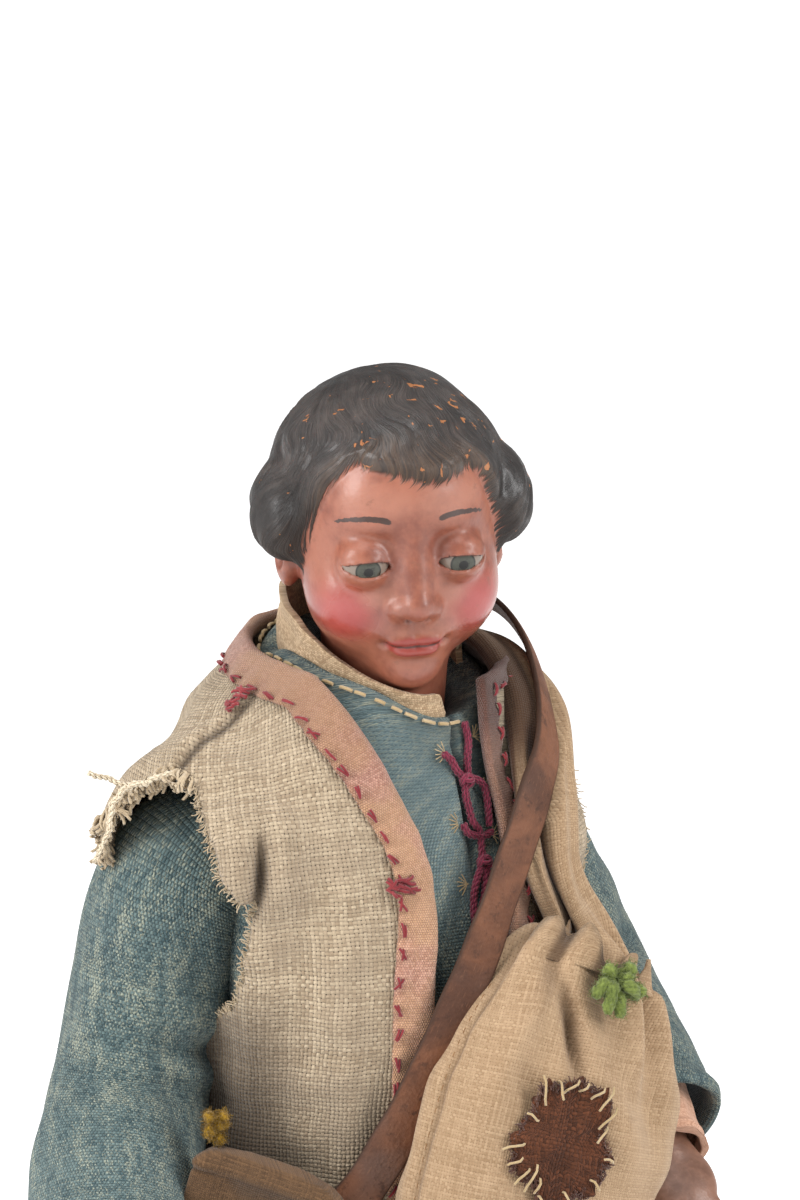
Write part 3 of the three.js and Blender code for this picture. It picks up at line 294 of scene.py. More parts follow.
# Sack from its slack tail behind, over the shoulder, to its filled end:
# place, middle, half width, half thickness, outward look
SACK = track(
    (0, 22, 30.5, 228, 13, 2.4, 0.15, 1, 0),
    (0.103, 23, 31, 254, 12.5, 2.6, 0.2, 1, 0.1),
    (0.216, 24.5, 28, 281, 11.5, 2.8, 0.25, 0.85, 0.5),
    (0.298, 26, 13, 298, 10.5, 3, 0.4, 0.35, 0.85),
    (0.36, 27, -3, 301.5, 9.5, 3, 0.55, -0.1, 0.83),
    (0.434, 25.5, -20, 294.5, 9, 3.2, 0.4, -0.6, 0.66),
    (0.504, 21.5, -31, 280, 7.8, 3.6, 0.3, -0.85, 0.4),
    (0.559, 21, -35.5, 266.5, 7.4, 4.4, 0.25, -0.93, 0.2),
    (0.619, 26.5, -38.5, 252, 8.4, 6, 0.1, -0.99, 0.1),
    (0.674, 22, -43, 242.5, 16.5, 9, -0.05, -1, 0.05),
    (0.754, 15, -46.5, 224, 24.5, 12, -0.15, -0.99, 0),
    (0.861, 7.5, -48, 198, 26.5, 13, -0.15, -0.99, 0),
    (0.952, 5, -47, 175, 25.5, 11, -0.12, -0.99, -0.1),
    (1, 4.5, -45.5, 163, 19, 6, -0.1, -0.9, -0.4),
)


def on_sack(at, angle, grow=0.0):
    at, angle = np.asarray(at, float), np.asarray(angle, float)
    here = SACK(at)
    along = unit((SACK(np.minimum(at + 0.004, 1)) - SACK(np.maximum(at - 0.004, 0)))[..., :3])
    out = upright(here[..., 5:8], along)
    side = np.cross(out, along)
    fold = 1 + 0.1 * np.sin(angle * 5 + at * 9) * bump(at - 0.66, 0.09)

    def soft(value):
        return np.sign(value) * np.abs(value) ** 0.85

    wide = (here[..., 3] * fold + grow) * soft(np.cos(angle))
    thick = (here[..., 4] * fold + grow) * soft(np.sin(angle))
    return here[..., :3] + wide[..., None] * side + thick[..., None] * out


# Middle line of the strap's underside, with its outward look, once round the body
STRAP_LINE = np.array(
    [
        (-24.1, -32.2, 200.7, -0.45, -0.89, 0.05),
        (-5.4, -41.5, 239, -0.1, -0.98, 0.1),
        (10, -39, 269.5, 0.22, -0.94, 0.25),
        (16.2, -35.8, 280, 0.42, -0.84, 0.32),
        (22.4, -30, 288.5, 0.6, -0.7, 0.38),
        (28.5, -12, 304.5, 0.82, -0.4, 0.42),
        (28, 3, 311.5, 0.7, -0.28, 0.66),
        (20.5, 20.5, 312, 0.5, 0.65, 0.55),
        (5, 30.5, 303, 0.15, 0.97, 0.2),
        (-12, 31.5, 283, -0.1, 0.97, 0.2),
        (-27, 28, 255, -0.4, 0.92, 0.05),
        (-30.5, 23.5, 235, -0.62, 0.78, 0),
        (-33.5, 19.3, 216, -0.78, 0.62, 0),
        (-42, 8, 203, -0.97, 0.25, 0),
        (-45, -5, 195, -1, -0.08, 0),
        (-41.5, -17.5, 192, -0.85, -0.52, 0),
        (-34, -26.8, 194.5, -0.65, -0.76, 0),
    ]
)


def spline(points, t, closed=False):
    """Centripetal curve through points of any number of values"""
    points = np.asarray(points, float)
    count = len(points)
    if closed:
        padded = np.concatenate([points[-1:], points, points[:2]])
    else:
        padded = np.concatenate([2 * points[:1] - points[1:2], points, 2 * points[-1:] - points[-2:-1]])
    spans = count if closed else count - 1
    place = np.clip(np.asarray(t, float), 0, 1) * spans
    i = np.minimum(place.astype(int), spans - 1)
    w = (place - i)[..., None]
    p0, p1, p2, p3 = (padded[i + k] for k in range(4))
    gaps = (np.linalg.norm(b - a, axis=-1, keepdims=True) for a, b in ((p0, p1), (p1, p2), (p2, p3)))
    d0, d1, d2 = (np.maximum(gap, 1e-4) ** 0.5 for gap in gaps)
    m1 = ((p1 - p0) / d0 - (p2 - p0) / (d0 + d1) + (p2 - p1) / d1) * d1
    m2 = ((p2 - p1) / d1 - (p3 - p1) / (d1 + d2) + (p3 - p2) / d2) * d1
    a2, a3 = -3 * p1 + 3 * p2 - 2 * m1 - m2, 2 * p1 - 2 * p2 + m1 + m2
    return p1 + m1 * w + a2 * w**2 + a3 * w**3


# Meshes
def carry(mesh, name, values):
    """Stores numbers or vectors on a mesh's points"""
    kind, key = ("FLOAT", "value") if values.ndim == 1 else ("FLOAT_VECTOR", "vector")
    mesh.attributes.new(name, kind, "POINT").data.foreach_set(key, values.astype(np.float32).ravel())


class Shape:
    """Collects grids and loose faces, with their patterns and painted fields, into one mesh"""

    def __init__(self):
        self.points, self.faces, self.uvs, self.fields, self.count = [], [], [], {}, 0

    def grid(self, place, pattern=None, keep=None, flip=False, **fields):
        rows, columns = place.shape[:2]
        index = np.arange(rows * columns).reshape(rows, columns)
        quads = np.stack([index[:-1, :-1], index[:-1, 1:], index[1:, 1:], index[1:, :-1]], -1)
        quads = quads[keep] if keep is not None else quads.reshape(-1, 4)
        if flip:
            quads = quads[:, ::-1]
        if pattern is None:
            pattern = np.zeros((rows, columns, 2))
        flat = {name: values.ravel() for name, values in fields.items()}
        return self.add(place.reshape(-1, 3), quads, pattern.reshape(-1, 2), **flat)

    def add(self, points, faces, pattern=None, **fields):
        pattern = np.zeros((len(points), 2)) if pattern is None else pattern
        self.points.append(points)
        self.faces.append(faces + self.count)
        self.uvs.append(pattern)
        for name in set(self.fields) | set(fields):
            kept = self.fields.setdefault(name, [np.zeros(self.count)] if self.count else [])
            kept.append(fields.get(name, np.zeros(len(points))))
        self.count += len(points)
        return self

    def make(self, name, material, merge=0.004, outward=False, thickness=0.0, offset=-1.0):
        """The finished object. Merge is in millimetres, and outward turns a closed shape's faces out."""
        points = np.concatenate(self.points) * 0.001
        pattern = np.concatenate(self.uvs)
        faces = [face for group in self.faces for face in group.tolist()]
        mesh = bpy.data.meshes.new(name)
        mesh.from_pydata(points.tolist(), [], faces)
        corners = np.empty(len(mesh.loops), int)
        mesh.loops.foreach_get("vertex_index", corners)
        mesh.uv_layers.new(name="pattern").data.foreach_set("uv", pattern[corners].astype(np.float32).ravel())
        for field, values in self.fields.items():
            carry(mesh, field, np.concatenate(values))
        if merge:
            work = bmesh.new()
            work.from_mesh(mesh)
            bmesh.ops.remove_doubles(work, verts=work.verts, dist=merge * 0.001)
            bmesh.ops.dissolve_degenerate(work, edges=work.edges, dist=1e-7)
            loose = [v for v in work.verts if not v.link_faces]
            bmesh.ops.delete(work, geom=loose, context="VERTS")
            if outward:
                bmesh.ops.recalc_face_normals(work, faces=work.faces)
            work.to_mesh(mesh)
            work.free()
        mesh.shade_smooth()
        mesh.materials.append(material)
        piece = linked(name, mesh)
        if thickness:
            wall = piece.modifiers.new("cloth_thickness", "SOLIDIFY")
            wall.thickness, wall.offset, wall.use_even_offset = thickness * 0.001, offset, False
        return piece


def rounded(piece, width):
    """Softens the sharp edges of a piece; width in millimetres"""
    edges = piece.modifiers.new("soft_edges", "BEVEL")
    edges.width, edges.segments, edges.limit_method = width * 0.001, 2, "ANGLE"


def finished(piece, slot, *nodes):
    """The piece rides on the figure and stands for CAD nodes, whose parts it hides. The slot is not used."""
    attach(piece, "root")
    if nodes:
        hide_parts(*nodes)
    return piece


def tube(points, radius, sides=8):
    """Grid of a closed tube along points; radius is one number or one for each point"""
    points = np.asarray(points, float)
    radius = np.broadcast_to(np.asarray(radius, float), len(points)).copy()
    along = unit(np.gradient(points, axis=0))
    side = np.empty_like(points)
    guide, other_guide = np.array([0.1, 1, 0.25]), np.array([1.0, 0, 0.2])
    if abs(along[0] @ unit(guide)) >= 0.9:
        guide = other_guide
    side[0] = unit(np.cross(along[0], guide))
    for k in range(1, len(points)):
        side[k] = unit(side[k - 1] - along[k] * (side[k - 1] @ along[k]))
    front = np.cross(along, side)
    points, side, front = (np.concatenate([v[:1], v, v[-1:]]) for v in (points, side, front))
    radius = np.concatenate([[0], radius, [0]])
    turn = np.linspace(0, 2 * PI, sides + 1)[:, None]
    ring = np.cos(turn) * side[:, None] + np.sin(turn) * front[:, None]
    return points[:, None] + radius[:, None, None] * ring


def lengths(points):
    step = np.linalg.norm(np.diff(points, axis=0), axis=-1)
    return np.concatenate([[0], np.cumsum(step)])


def tube_pattern(place, around_length):
    """Pattern in millimetres, round and along a tube"""
    around = np.linspace(0, around_length, place.shape[1])
    return np.stack(np.broadcast_arrays(around[None, :], lengths(place[:, 0])[:, None]), -1)


def run_along(place, axis):
    """Length run so far along the columns or the rows of a grid"""
    step = np.linalg.norm(np.diff(place, axis=axis), axis=-1)
    return np.cumsum(np.insert(step, 0, 0, axis), axis)


def pattern_of(place):
    """Pattern in millimetres from the lengths along a grid's rows and columns"""
    return np.stack([run_along(place, 1), run_along(place, 0)], -1)


# Solids from distances
def join(a, b, radius):
    h = np.maximum(radius - np.abs(a - b), 0)
    return np.minimum(a, b) - h * h / (4 * radius)


def carve(a, b, radius):
    return -join(-a, b, radius)


def ball(p, middle, half):
    q = p - np.array(middle)
    half = np.broadcast_to(np.asarray(half, float), 3)
    k0 = np.linalg.norm(q / half, axis=-1)
    k1 = np.linalg.norm(q / half**2, axis=-1)
    return k0 * (k0 - 1) / np.maximum(k1, 1e-6)


def rod(p, a, b, radius_a, radius_b):
    a, along = np.array(a, float), np.array(b, float) - np.array(a, float)
    t = np.clip((p - a) @ along / (along @ along), 0, 1)
    return np.linalg.norm(p - a - t[..., None] * along, axis=-1) - (radius_a + (radius_b - radius_a) * t)


def skin_of(distance, low, high, step):
    """Points and quads of the surface where a distance crosses zero, sampled near it only

    Whole blocks of cells are passed over where their corners are far from the surface.
    """
    block, reach, far = 5, 1.9, 9.0
    size = [int(math.ceil((h - l) / (step * block))) * block for l, h in zip(low, high)]
    low = np.array(low, float)
    stops = [np.arange(n // block + 1) * step * block for n in size]
    coarse = np.stack(np.meshgrid(*stops, indexing="ij"), -1) + low
    rough = distance(coarse.reshape(-1, 3)).reshape(coarse.shape[:3])
    near = np.abs(rough) < reach * step * block
    cells = np.zeros([n // block for n in size], bool)
    sign = np.full(cells.shape, far)
    corners = [(x, y, z) for x in (0, 1) for y in (0, 1) for z in (0, 1)]
    for corner in corners:
        part = tuple(slice(c, c + n) for c, n in zip(corner, cells.shape))
        cells |= near[part]
        sign = np.minimum(sign, rough[part])
    for axis in range(3):
        cells, sign = cells.repeat(block, axis), sign.repeat(block, axis)
    field = np.where(sign < 0, -far, far)
    where = np.argwhere(cells)
    field[cells] = distance(where * step + low)
    inside = field < 0
    shape = np.array(field.shape) - 1

    def shifted(values, corner):
        return values[tuple(slice(c, c + n) for c, n in zip(corner, shape))]

    total = sum(shifted(inside, corner).astype(int) for corner in corners)
    active = (total > 0) & (total < 8)
    cell = np.argwhere(active)
    number = np.full(active.shape, -1)
    number[active] = np.arange(len(cell))
    values = {corner: shifted(field, corner)[active] for corner in corners}
    spot, hits = np.zeros((len(cell), 3)), np.zeros(len(cell))
    for a in corners:
        for axis in range(3):
            if a[axis]:
                continue
            b = tuple(1 if k == axis else v for k, v in enumerate(a))
            da, db = values[a], values[b]
            cross = (da < 0) != (db < 0)
            t = da[cross] / (da[cross] - db[cross])
            spot[cross] += np.array(a) + t[:, None] * (np.array(b) - np.array(a))
            hits[cross] += 1
    points = (cell + spot / hits[:, None]) * step + low
    quads = []
    for axis in range(3):
        u, v = (axis + 1) % 3, (axis + 2) % 3
        here = [slice(1, n) for n in shape]
        here[axis] = slice(0, shape[axis])
        there = list(here)
        there[axis] = slice(1, shape[axis] + 1)
        a, b = inside[tuple(here)], inside[tuple(there)]
        edge = np.argwhere(a != b) + np.array([0 if k == axis else 1 for k in range(3)])
        rising = b[a != b]
        steps = []
        for du, dv in ((0, 0), (1, 0), (1, 1), (0, 1)):
            back = edge.copy()
            back[:, u] -= du
            back[:, v] -= dv
            steps.append(number[tuple(back.T)])
        quad = np.stack(steps, -1)
        quad[rising] = quad[rising][:, ::-1]
        quads.append(quad)
    faces = np.concatenate(quads)
    return points, faces[(faces >= 0).all(1)]


def hollows(points, faces, rounds=12):
    """How deep each point lies in a hollow, in millimetres"""
    edges = np.concatenate([faces[:, [0, 1]], faces[:, [1, 2]], faces[:, [2, 3]], faces[:, [3, 0]]])
    soft = points.copy()
    count = np.maximum(np.bincount(edges.ravel(), minlength=len(points)), 1)[:, None]
    for _ in range(rounds):
        total = np.zeros_like(points)
        for a, b in ((0, 1), (1, 0)):
            for k in range(3):
                total[:, k] += np.bincount(edges[:, a], soft[edges[:, b], k], len(points))
        soft = total / count
    out = np.zeros_like(points)
    face = np.cross(points[faces[:, 2]] - points[faces[:, 0]], points[faces[:, 3]] - points[faces[:, 1]])
    for corner in range(4):
        for k in range(3):
            out[:, k] += np.bincount(faces[:, corner], face[:, k], len(points))
    return ((soft - points) * unit(out)).sum(-1)


# Recipes for finishes
def colour(code):
    """Linear colour from six hexadecimal digits of sRGB"""
    parts = [int(code[k : k + 2], 16) / 255 for k in (0, 2, 4)]
    return (*[p / 12.92 if p <= 0.04045 else ((p + 0.055) / 1.055) ** 2.4 for p in parts], 1.0)


def feed(tree, value, slot):
    if isinstance(value, Value):
        tree.links.new(value.socket, slot)
    elif value is not None:
        slot.default_value = value


class Value:
    """A socket that can be reckoned with"""

    def __init__(self, tree, socket):
        self.tree, self.socket = tree, socket

    def math(self, operation, *others):
        node = self.tree.nodes.new("ShaderNodeMath")
        node.operation = operation
        for slot, other in zip(node.inputs, (self, *others)):
            feed(self.tree, other, slot)
        return Value(self.tree, node.outputs[0])

    def __add__(self, other):
        return self.math("ADD", other)

    def __sub__(self, other):
        return self.math("SUBTRACT", other)

    def __mul__(self, other):
        return self.math("MULTIPLY", other)

    __radd__, __rmul__ = __add__, __mul__

    def __rsub__(self, other):
        return self.math("MULTIPLY_ADD", -1.0, other)

    def power(self, other):
        return self.math("POWER", other)

    def most(self, other):
        return self.math("MAXIMUM", other)

    def swing(self, sharpness=None):
        """Sine of the value in half turns, or its size to a power"""
        wave = (self * PI).math("SINE")
        return wave if sharpness is None else wave.math("ABSOLUTE").power(sharpness)


class Recipe:
    """Adds nodes to a material or a group"""

    def __init__(self, tree):
        self.tree = tree

    def node(self, kind, inputs=None, output=0, **settings):
        node = self.tree.nodes.new(kind)
        for key, value in settings.items():
            setattr(node, key, value)
        self.fill(node, inputs or {})
        return Value(self.tree, node.outputs[output])

    def fill(self, node, values):
        """Links or sets inputs of a node by name"""
        for key, value in values.items():
            feed(self.tree, value, node.inputs[key])

    def place(self):
        return self.node("ShaderNodeTexCoord", output="Object")

    def pattern(self):
        return self.node("ShaderNodeUVMap", uv_map="pattern")

    def field(self, name, output="Fac"):
        return self.node("ShaderNodeAttribute", output=output, attribute_name=name)

    def scaled(self, vector, scale, shift=(0, 0, 0)):
        return self.node("ShaderNodeMapping", {"Vector": vector, "Scale": scale, "Location": shift})

    def noise(self, vector, scale, detail=2.0, rough=0.5, twist=0.0):
        inputs = {"Vector": vector, "Scale": scale, "Detail": detail, "Roughness": rough, "Distortion": twist}
        return self.node("ShaderNodeTexNoise", inputs)

    def step(self, value, low, high, out_low=0.0, out_high=1.0):
        inputs = {"Value": value, "From Min": low, "From Max": high, "To Min": out_low, "To Max": out_high}
        return self.node("ShaderNodeMapRange", inputs, interpolation_type="SMOOTHSTEP")

    def mix(self, a, b, share):
        """Colour from a to b; each is a value or a code"""
        a, b = (colour(tint) if isinstance(tint, str) else tint for tint in (a, b))
        return self.node("ShaderNodeMix", {0: share, 6: a, 7: b}, output=2, data_type="RGBA")

    def parts(self, vector):
        node = self.tree.nodes.new("ShaderNodeSeparateXYZ")
        self.fill(node, {0: vector})
        return [Value(self.tree, socket) for socket in node.outputs]

    def joined(self, x, y, z=0.0):
        return self.node("ShaderNodeCombineXYZ", {0: x, 1: y, 2: z})

    def group(self, group, **inputs):
        node = self.tree.nodes.new("ShaderNodeGroup")
        node.node_tree = group
        self.fill(node, inputs)
        return {socket.name: Value(self.tree, socket) for socket in node.outputs}

    def relief(self, height, depth):
        return self.node("ShaderNodeBump", {"Height": height, "Distance": depth})


def shader_group(name, inputs, outputs, build):
    tree = bpy.data.node_groups.new(name, "ShaderNodeTree")
    for key, kind, value in inputs:
        socket = tree.interface.new_socket(key, in_out="INPUT", socket_type="NodeSocket" + kind)
        if value is not None:
            socket.default_value = value
    for key in outputs:
        tree.interface.new_socket(key, in_out="OUTPUT", socket_type="NodeSocketFloat")
    start, end = tree.nodes.new("NodeGroupInput"), tree.nodes.new("NodeGroupOutput")
    r = Recipe(tree)
    r.fill(end, build(r, {socket.name: Value(tree, socket) for socket in start.outputs if socket.name}))
    return tree


def build_plain_weave(r, given):
    """Threads over and under each other. Place is in threads, so one unit is one thread."""
    sway = r.noise(given["Threads"], 0.13, 1.0)
    sway_too = r.noise(r.scaled(given["Threads"], (1, 1, 1), (31, 17, 0)), 0.11, 1.0)
    x, y, _ = r.parts(given["Threads"])
    x = x + (sway - 0.5) * given["Sway"]
    y = y + (sway_too - 0.5) * given["Sway"]
    across, along = x.swing(), y.swing()
    warp = across.math("ABSOLUTE").power(0.6) * (0.5 + 0.5 * across.math("SIGN") * along)
    weft = along.math("ABSOLUTE").power(0.6) * (0.5 - 0.5 * along.math("SIGN") * across)
    over = warp.math("GREATER_THAN", weft)
    column, row = x.math("FLOOR"), y.math("FLOOR")
    tone_warp = r.node("ShaderNodeTexWhiteNoise", {"W": column}, noise_dimensions="1D")
    tone_weft = r.node("ShaderNodeTexWhiteNoise", {"W": row + 0.37}, noise_dimensions="1D")
    slub = r.noise(r.joined(x * 0.9, y * 0.08), 1.0, 2.0) * over
    slub = slub + r.noise(r.joined(x * 0.08, y * 0.9), 1.0, 2.0) * (1 - over)
    cell = r.node("ShaderNodeTexWhiteNoise", {"Vector": r.joined(column, row)}, noise_dimensions="2D")
    tone = (tone_warp * over + tone_weft * (1 - over)) * 0.3 + cell * 0.2 + slub * 0.5
    height = warp.most(weft) + (slub - 0.5) * given["Slub"]
    corner = (1 - across.math("ABSOLUTE")) * (1 - along.math("ABSOLUTE"))
    crossing = r.joined((x + 0.5).math("FLOOR"), (y + 0.5).math("FLOOR"))
    luck = r.node("ShaderNodeTexWhiteNoise", {"Vector": crossing}, noise_dimensions="2D")
    holes = r.step(corner * (0.45 + 0.8 * luck), 0.36, 0.6)
    seams = (1 - across.math("ABSOLUTE")).power(3.0) * over
    seams = seams + (1 - along.math("ABSOLUTE")).power(3.0) * (1 - over)
    return {"Height": height, "Tone": tone, "Gap": holes.most(seams * 0.7)}


def build_twill(r, given):
    """Slanting ribs of short floats"""
    sway = r.noise(given["Threads"], 0.1, 1.0)
    x, y, _ = r.parts(given["Threads"])
    x = x + (sway - 0.5) * given["Sway"]
    row = y.math("FLOOR")
    rib = (x + row * 0.5).swing(0.7)
    thread = y.swing(0.5)
    spot = r.joined((x + row * 0.5).math("FLOOR"), row)
    cell = r.node("ShaderNodeTexWhiteNoise", {"Vector": spot}, noise_dimensions="2D")
    line = r.noise(r.joined(x * 0.06, y * 0.8), 1.0, 2.0)
    height = rib * thread + (line - 0.5) * given["Slub"]
    return {"Height": height, "Tone": cell * 0.55 + line * 0.45, "Gap": r.step(rib * thread, 0.5, 0.12)}


WEAVE_INPUTS = [("Threads", "Vector", None), ("Sway", "Float", 0.6), ("Slub", "Float", 0.3)]
WEAVES = {
    "plain": shader_group("plain_weave", WEAVE_INPUTS, ("Height", "Tone", "Gap"), build_plain_weave),
    "twill": shader_group("twill_weave", WEAVE_INPUTS, ("Height", "Tone", "Gap"), build_twill),
}


def build_stains(r, given):
    broad = r.noise(given["Place"], given["Size"], 4.0, 0.6, 0.4)
    fine = r.noise(given["Place"], given["Size"] * 6.0, 3.0, 0.6)
    blotch = r.step(broad * 0.75 + fine * 0.25, given["Start"], given["Start"] + 0.16)
    return {"Blotch": blotch, "Drift": broad * 0.6 + fine * 0.4}


STAINS = shader_group(
    "stains",
    [("Place", "Vector", None), ("Size", "Float", 20.0), ("Start", "Float", 0.5)],
    ("Blotch", "Drift"),
    build_stains,
)


def finish_of(name):
    material = bpy.data.materials.new(name)
    material.use_nodes = True
    return material, material.node_tree.nodes["Principled BSDF"], Recipe(material.node_tree)


def cloth(
    name,
    threads,
    light,
    mid,
    dark,
    weave="plain",
    sway=0.6,
    slub=0.3,
    depth=0.22,
    stain="6a5a48",
    stain_start=0.52,
    stain_size=22.0,
    stain_share=0.5,
    gap="3a3026",
    gap_share=0.5,
    contrast=1.0,
    fleck=None,
    fleck_share=0.3,
    worn=None,
    sheen=0.15,
    shade=None,
):
    """Woven cloth. Threads is threads per millimetre across and along."""
    material, shader, r = finish_of(name)
    lay = r.scaled(r.pattern(), (threads[0], threads[1], 1))
    woven = r.group(WEAVES[weave], Threads=lay, Sway=sway, Slub=slub)
    place = r.place()
    dirt = r.group(STAINS, Place=place, Size=stain_size, Start=stain_start)
    body = r.mix(dark, light, r.step(woven["Tone"], 0.5 - 0.28 / contrast, 0.5 + 0.28 / contrast))
    body = r.mix(mid, body, 0.62)
    body = r.mix(body, light, r.step(dirt["Drift"], 0.45, 0.72) * 0.55)
    if fleck:
        x, y, _ = r.parts(r.pattern())
        fibres = r.noise(r.joined(x * 2.6 + y * 1.0, y * 1.5 - x * 0.7), 1.0, 4.0, 0.72)
        nap = r.noise(place, 1700.0, 3.0, 0.7)
        streaks = r.noise(r.joined(x * 0.32 + y * 0.05, y * 0.09), 1.0, 4.0, 0.65)
        wear = r.field("wear")
        body = r.mix(body, dark, r.step(nap * 0.6 + fibres * 0.4, 0.5, 0.6) * 0.6)
        body = r.mix(body, worn, wear * r.step(nap * 0.5 + streaks * 0.5, 0.35, 0.6, 0.45, 0.85))
        start = 0.535 - fleck_share * 0.1
        mask = r.step(fibres * 0.55 + nap * 0.15 + streaks * 0.3, start, 0.6 - fleck_share * 0.1)
        body = r.mix(body, fleck, mask * 0.8)
    body = r.mix(body, stain, dirt["Blotch"] * stain_share)
    if shade:
        body = r.mix(body, shade, r.field("shade"))
    body = r.mix(body, gap, woven["Gap"] * gap_share)
    height = woven["Height"] + (r.noise(place, 2600.0, 2.0, 0.7) - 0.5) * 0.35
    normal = r.relief(height, depth * 0.001)
    r.fill(shader, {"Base Color": body, "Normal": normal, "Roughness": 0.92, "Specular IOR Level": 0.25})
    r.fill(shader, {"Sheen Weight": sheen, "Sheen Roughness": 0.5})
    return material


def yarn(name, light, dark, turns=2.2, sheen=0.35, rough=0.85, ply_share=0.5):
    """Twisted thread or soft wool; the pattern runs round and along it in millimetres"""
    material, shader, r = finish_of(name)
    x, y, _ = r.parts(r.pattern())
    ply = ((x * 1.6 + y * turns) * PI).math("SINE").math("ABSOLUTE")
    fuzz = r.noise(r.place(), 1500.0, 3.0, 0.7)
    tone = r.noise(r.place(), 160.0, 2.0)
    body = r.mix(dark, light, r.step(ply * ply_share + tone * 0.6 + fuzz * (0.8 - ply_share), 0.35, 0.95))
    normal = r.relief(ply * (0.1 + ply_share) + fuzz * (1.1 - ply_share), 0.00022)
    r.fill(shader, {"Base Color": body, "Normal": normal, "Roughness": rough})
    r.fill(shader, {"Sheen Weight": sheen, "Specular IOR Level": 0.25})
    return material


def leather():
    material, shader, r = finish_of("worn_leather")
    place = r.place()
    broad = r.noise(place, 55.0, 4.0, 0.65, 0.5)
    fine = r.noise(place, 420.0, 4.0, 0.7)
    pores = r.node("ShaderNodeTexVoronoi", {"Vector": place, "Scale": 1400.0}, feature="F1")
    body = r.mix("4e3225", "734932", r.step(broad, 0.34, 0.62))
    body = r.mix(body, "5b4840", r.step(r.noise(place, 32.0, 3.0, 0.6), 0.52, 0.68) * 0.6)
    body = r.mix(body, "38231a", r.step(fine, 0.54, 0.7) * 0.7)
    x, y, _ = r.parts(r.pattern())
    scuff = r.noise(r.joined(x * 0.9, y * 0.12), 3.0, 4.0, 0.75)
    body = r.mix(body, "855c43", r.step(scuff, 0.55, 0.7) * 0.5)
    body = r.mix(body, "3a2519", r.field("edge"))
    rough = r.step(broad, 0.3, 0.7, 0.72, 0.56)
    normal = r.relief(fine * 0.6 + pores * 0.35 + scuff * 0.35, 0.0003)
    r.fill(shader, {"Base Color": body, "Roughness": rough, "Normal": normal, "Specular IOR Level": 0.3})
    return material


def painted_head():
    """Oil paint on fired clay: skin, blush, lips, brows and dark hair, chipped and varnished"""
    material, shader, r = finish_of("painted_terracotta")
    place, strand = r.place(), r.field("strand", "Vector")
    drift = r.noise(place, 90.0, 4.0, 0.6)
    mottled = r.noise(place, 420.0, 4.0, 0.65)
    skin = r.mix("774131", "945944", r.step(drift * 0.7 + mottled * 0.3, 0.38, 0.62))
    skin = r.mix(skin, "9c3532", r.step(r.field("blush") + (mottled - 0.5) * 0.12, 0.1, 1.0) * 0.88)
    skin = r.mix(skin, "aa7460", r.step(r.field("pale") + (drift - 0.5) * 0.3, 0.25, 0.9) * 0.45)
    skin = r.mix(skin, "8c332e", r.field("lip") * 0.8)
    grime = r.step(r.field("hollow") + (mottled - 0.5) * 0.12, 0.1, 0.6)
    skin = r.mix(skin, "5c3527", grime * 0.5)
    rub = r.step(r.noise(r.scaled(place, (1, 1, 1.4)), 240.0, 5.0, 0.75), 0.6, 0.7)
    skin = r.mix(skin, "744936", rub * 0.45)
    skin = r.mix(skin, "3a201b", r.step(r.field("mouth"), 0.35, 0.8) * 0.85)
    stroke = r.noise(r.scaled(strand, (1.0, 1.0, 0.16)), 2.4, 3.0, 0.6)
    skin = r.mix(skin, "2a1d18", r.step(r.field("brow") + (stroke - 0.5) * 0.25, 0.35, 0.65) * 0.92)
    skin = r.mix(skin, "452b24", r.step(r.field("lash"), 0.4, 0.8) * 0.8)
    edge = r.field("hair_edge")
    ends = r.noise(r.scaled(strand, (1.0, 1.0, 0.06)), 2.6, 3.0, 0.7)
    brown = r.step(edge + (ends - 0.5) * 9.0, -0.8, 0.5)
    dark = r.step(edge + (ends - 0.5) * 9.0, 1.5, 9.5)
    fine = r.noise(r.scaled(strand, (1.0, 1.0, 0.06)), 6.0, 3.0, 0.7)
    hair_dark = r.mix("231e1c", "4b423e", r.step(fine * 0.5 + drift * 0.5, 0.4, 0.66))
    hair_brown = r.mix("281c15", "4c3828", r.step(fine, 0.36, 0.66))
    hair = r.mix(hair_brown, hair_dark, dark)
    hair = r.mix(hair, "1f1b1a", r.step(r.field("hollow"), 0.1, 0.7) * 0.75)
    # painted shade: the side rolls of hair are darker where they turn from the light
    hair = r.mix(hair, "191412", r.field("roll") * 0.75)
    rubbed = r.step(r.field("hollow") * -1.0 + (drift - 0.5) * 0.8, 0.1, 0.55)
    hair = r.mix(hair, "73675f", rubbed * 0.25)
    chip_spot = r.noise(place, 380.0, 2.0, 0.6, 0.6)
    chip_zone = r.noise(r.scaled(place, (1, 1, 1), (3, 5, 1)), 60.0, 1.0)
    chips = r.step(chip_spot + (chip_zone - 0.5) * 0.3, 0.685, 0.7) * brown
    body = r.mix(skin, hair, brown)
    body = r.mix(body, "a5693d", chips * 0.95)
    gloss = r.step(r.noise(place, 70.0, 3.0, 0.6), 0.4, 0.62)
    rosy = r.step(r.field("blush"), 0.0, 0.5)
    skin_rough = r.step(gloss, 0.0, 1.0, 0.5, 0.4) - rosy * 0.14
    hair_rough = r.step(gloss, 0.0, 1.0, 0.66, 0.42)
    rough = skin_rough * (1 - brown) + hair_rough * brown + grime * 0.15
    coat = (1 - brown) * (0.15 + rosy * 0.45) * (1 - grime) + brown * r.step(gloss, 0.6, 1.0) * 0.25
    grain = r.noise(place, 900.0, 3.0, 0.6) * 0.35 + r.noise(place, 180.0, 3.0, 0.55) * 0.5
    normal = r.relief(grain + fine * brown * 1.6 - chips * 1.2, 0.00022)
    r.fill(shader, {"Base Color": body, "Roughness": rough, "Normal": normal})
    r.fill(shader, {"Coat Weight": coat, "Coat Roughness": 0.2})
    r.fill(shader, {"Subsurface Weight": 0.06, "Subsurface Scale": 0.0012})
    return material


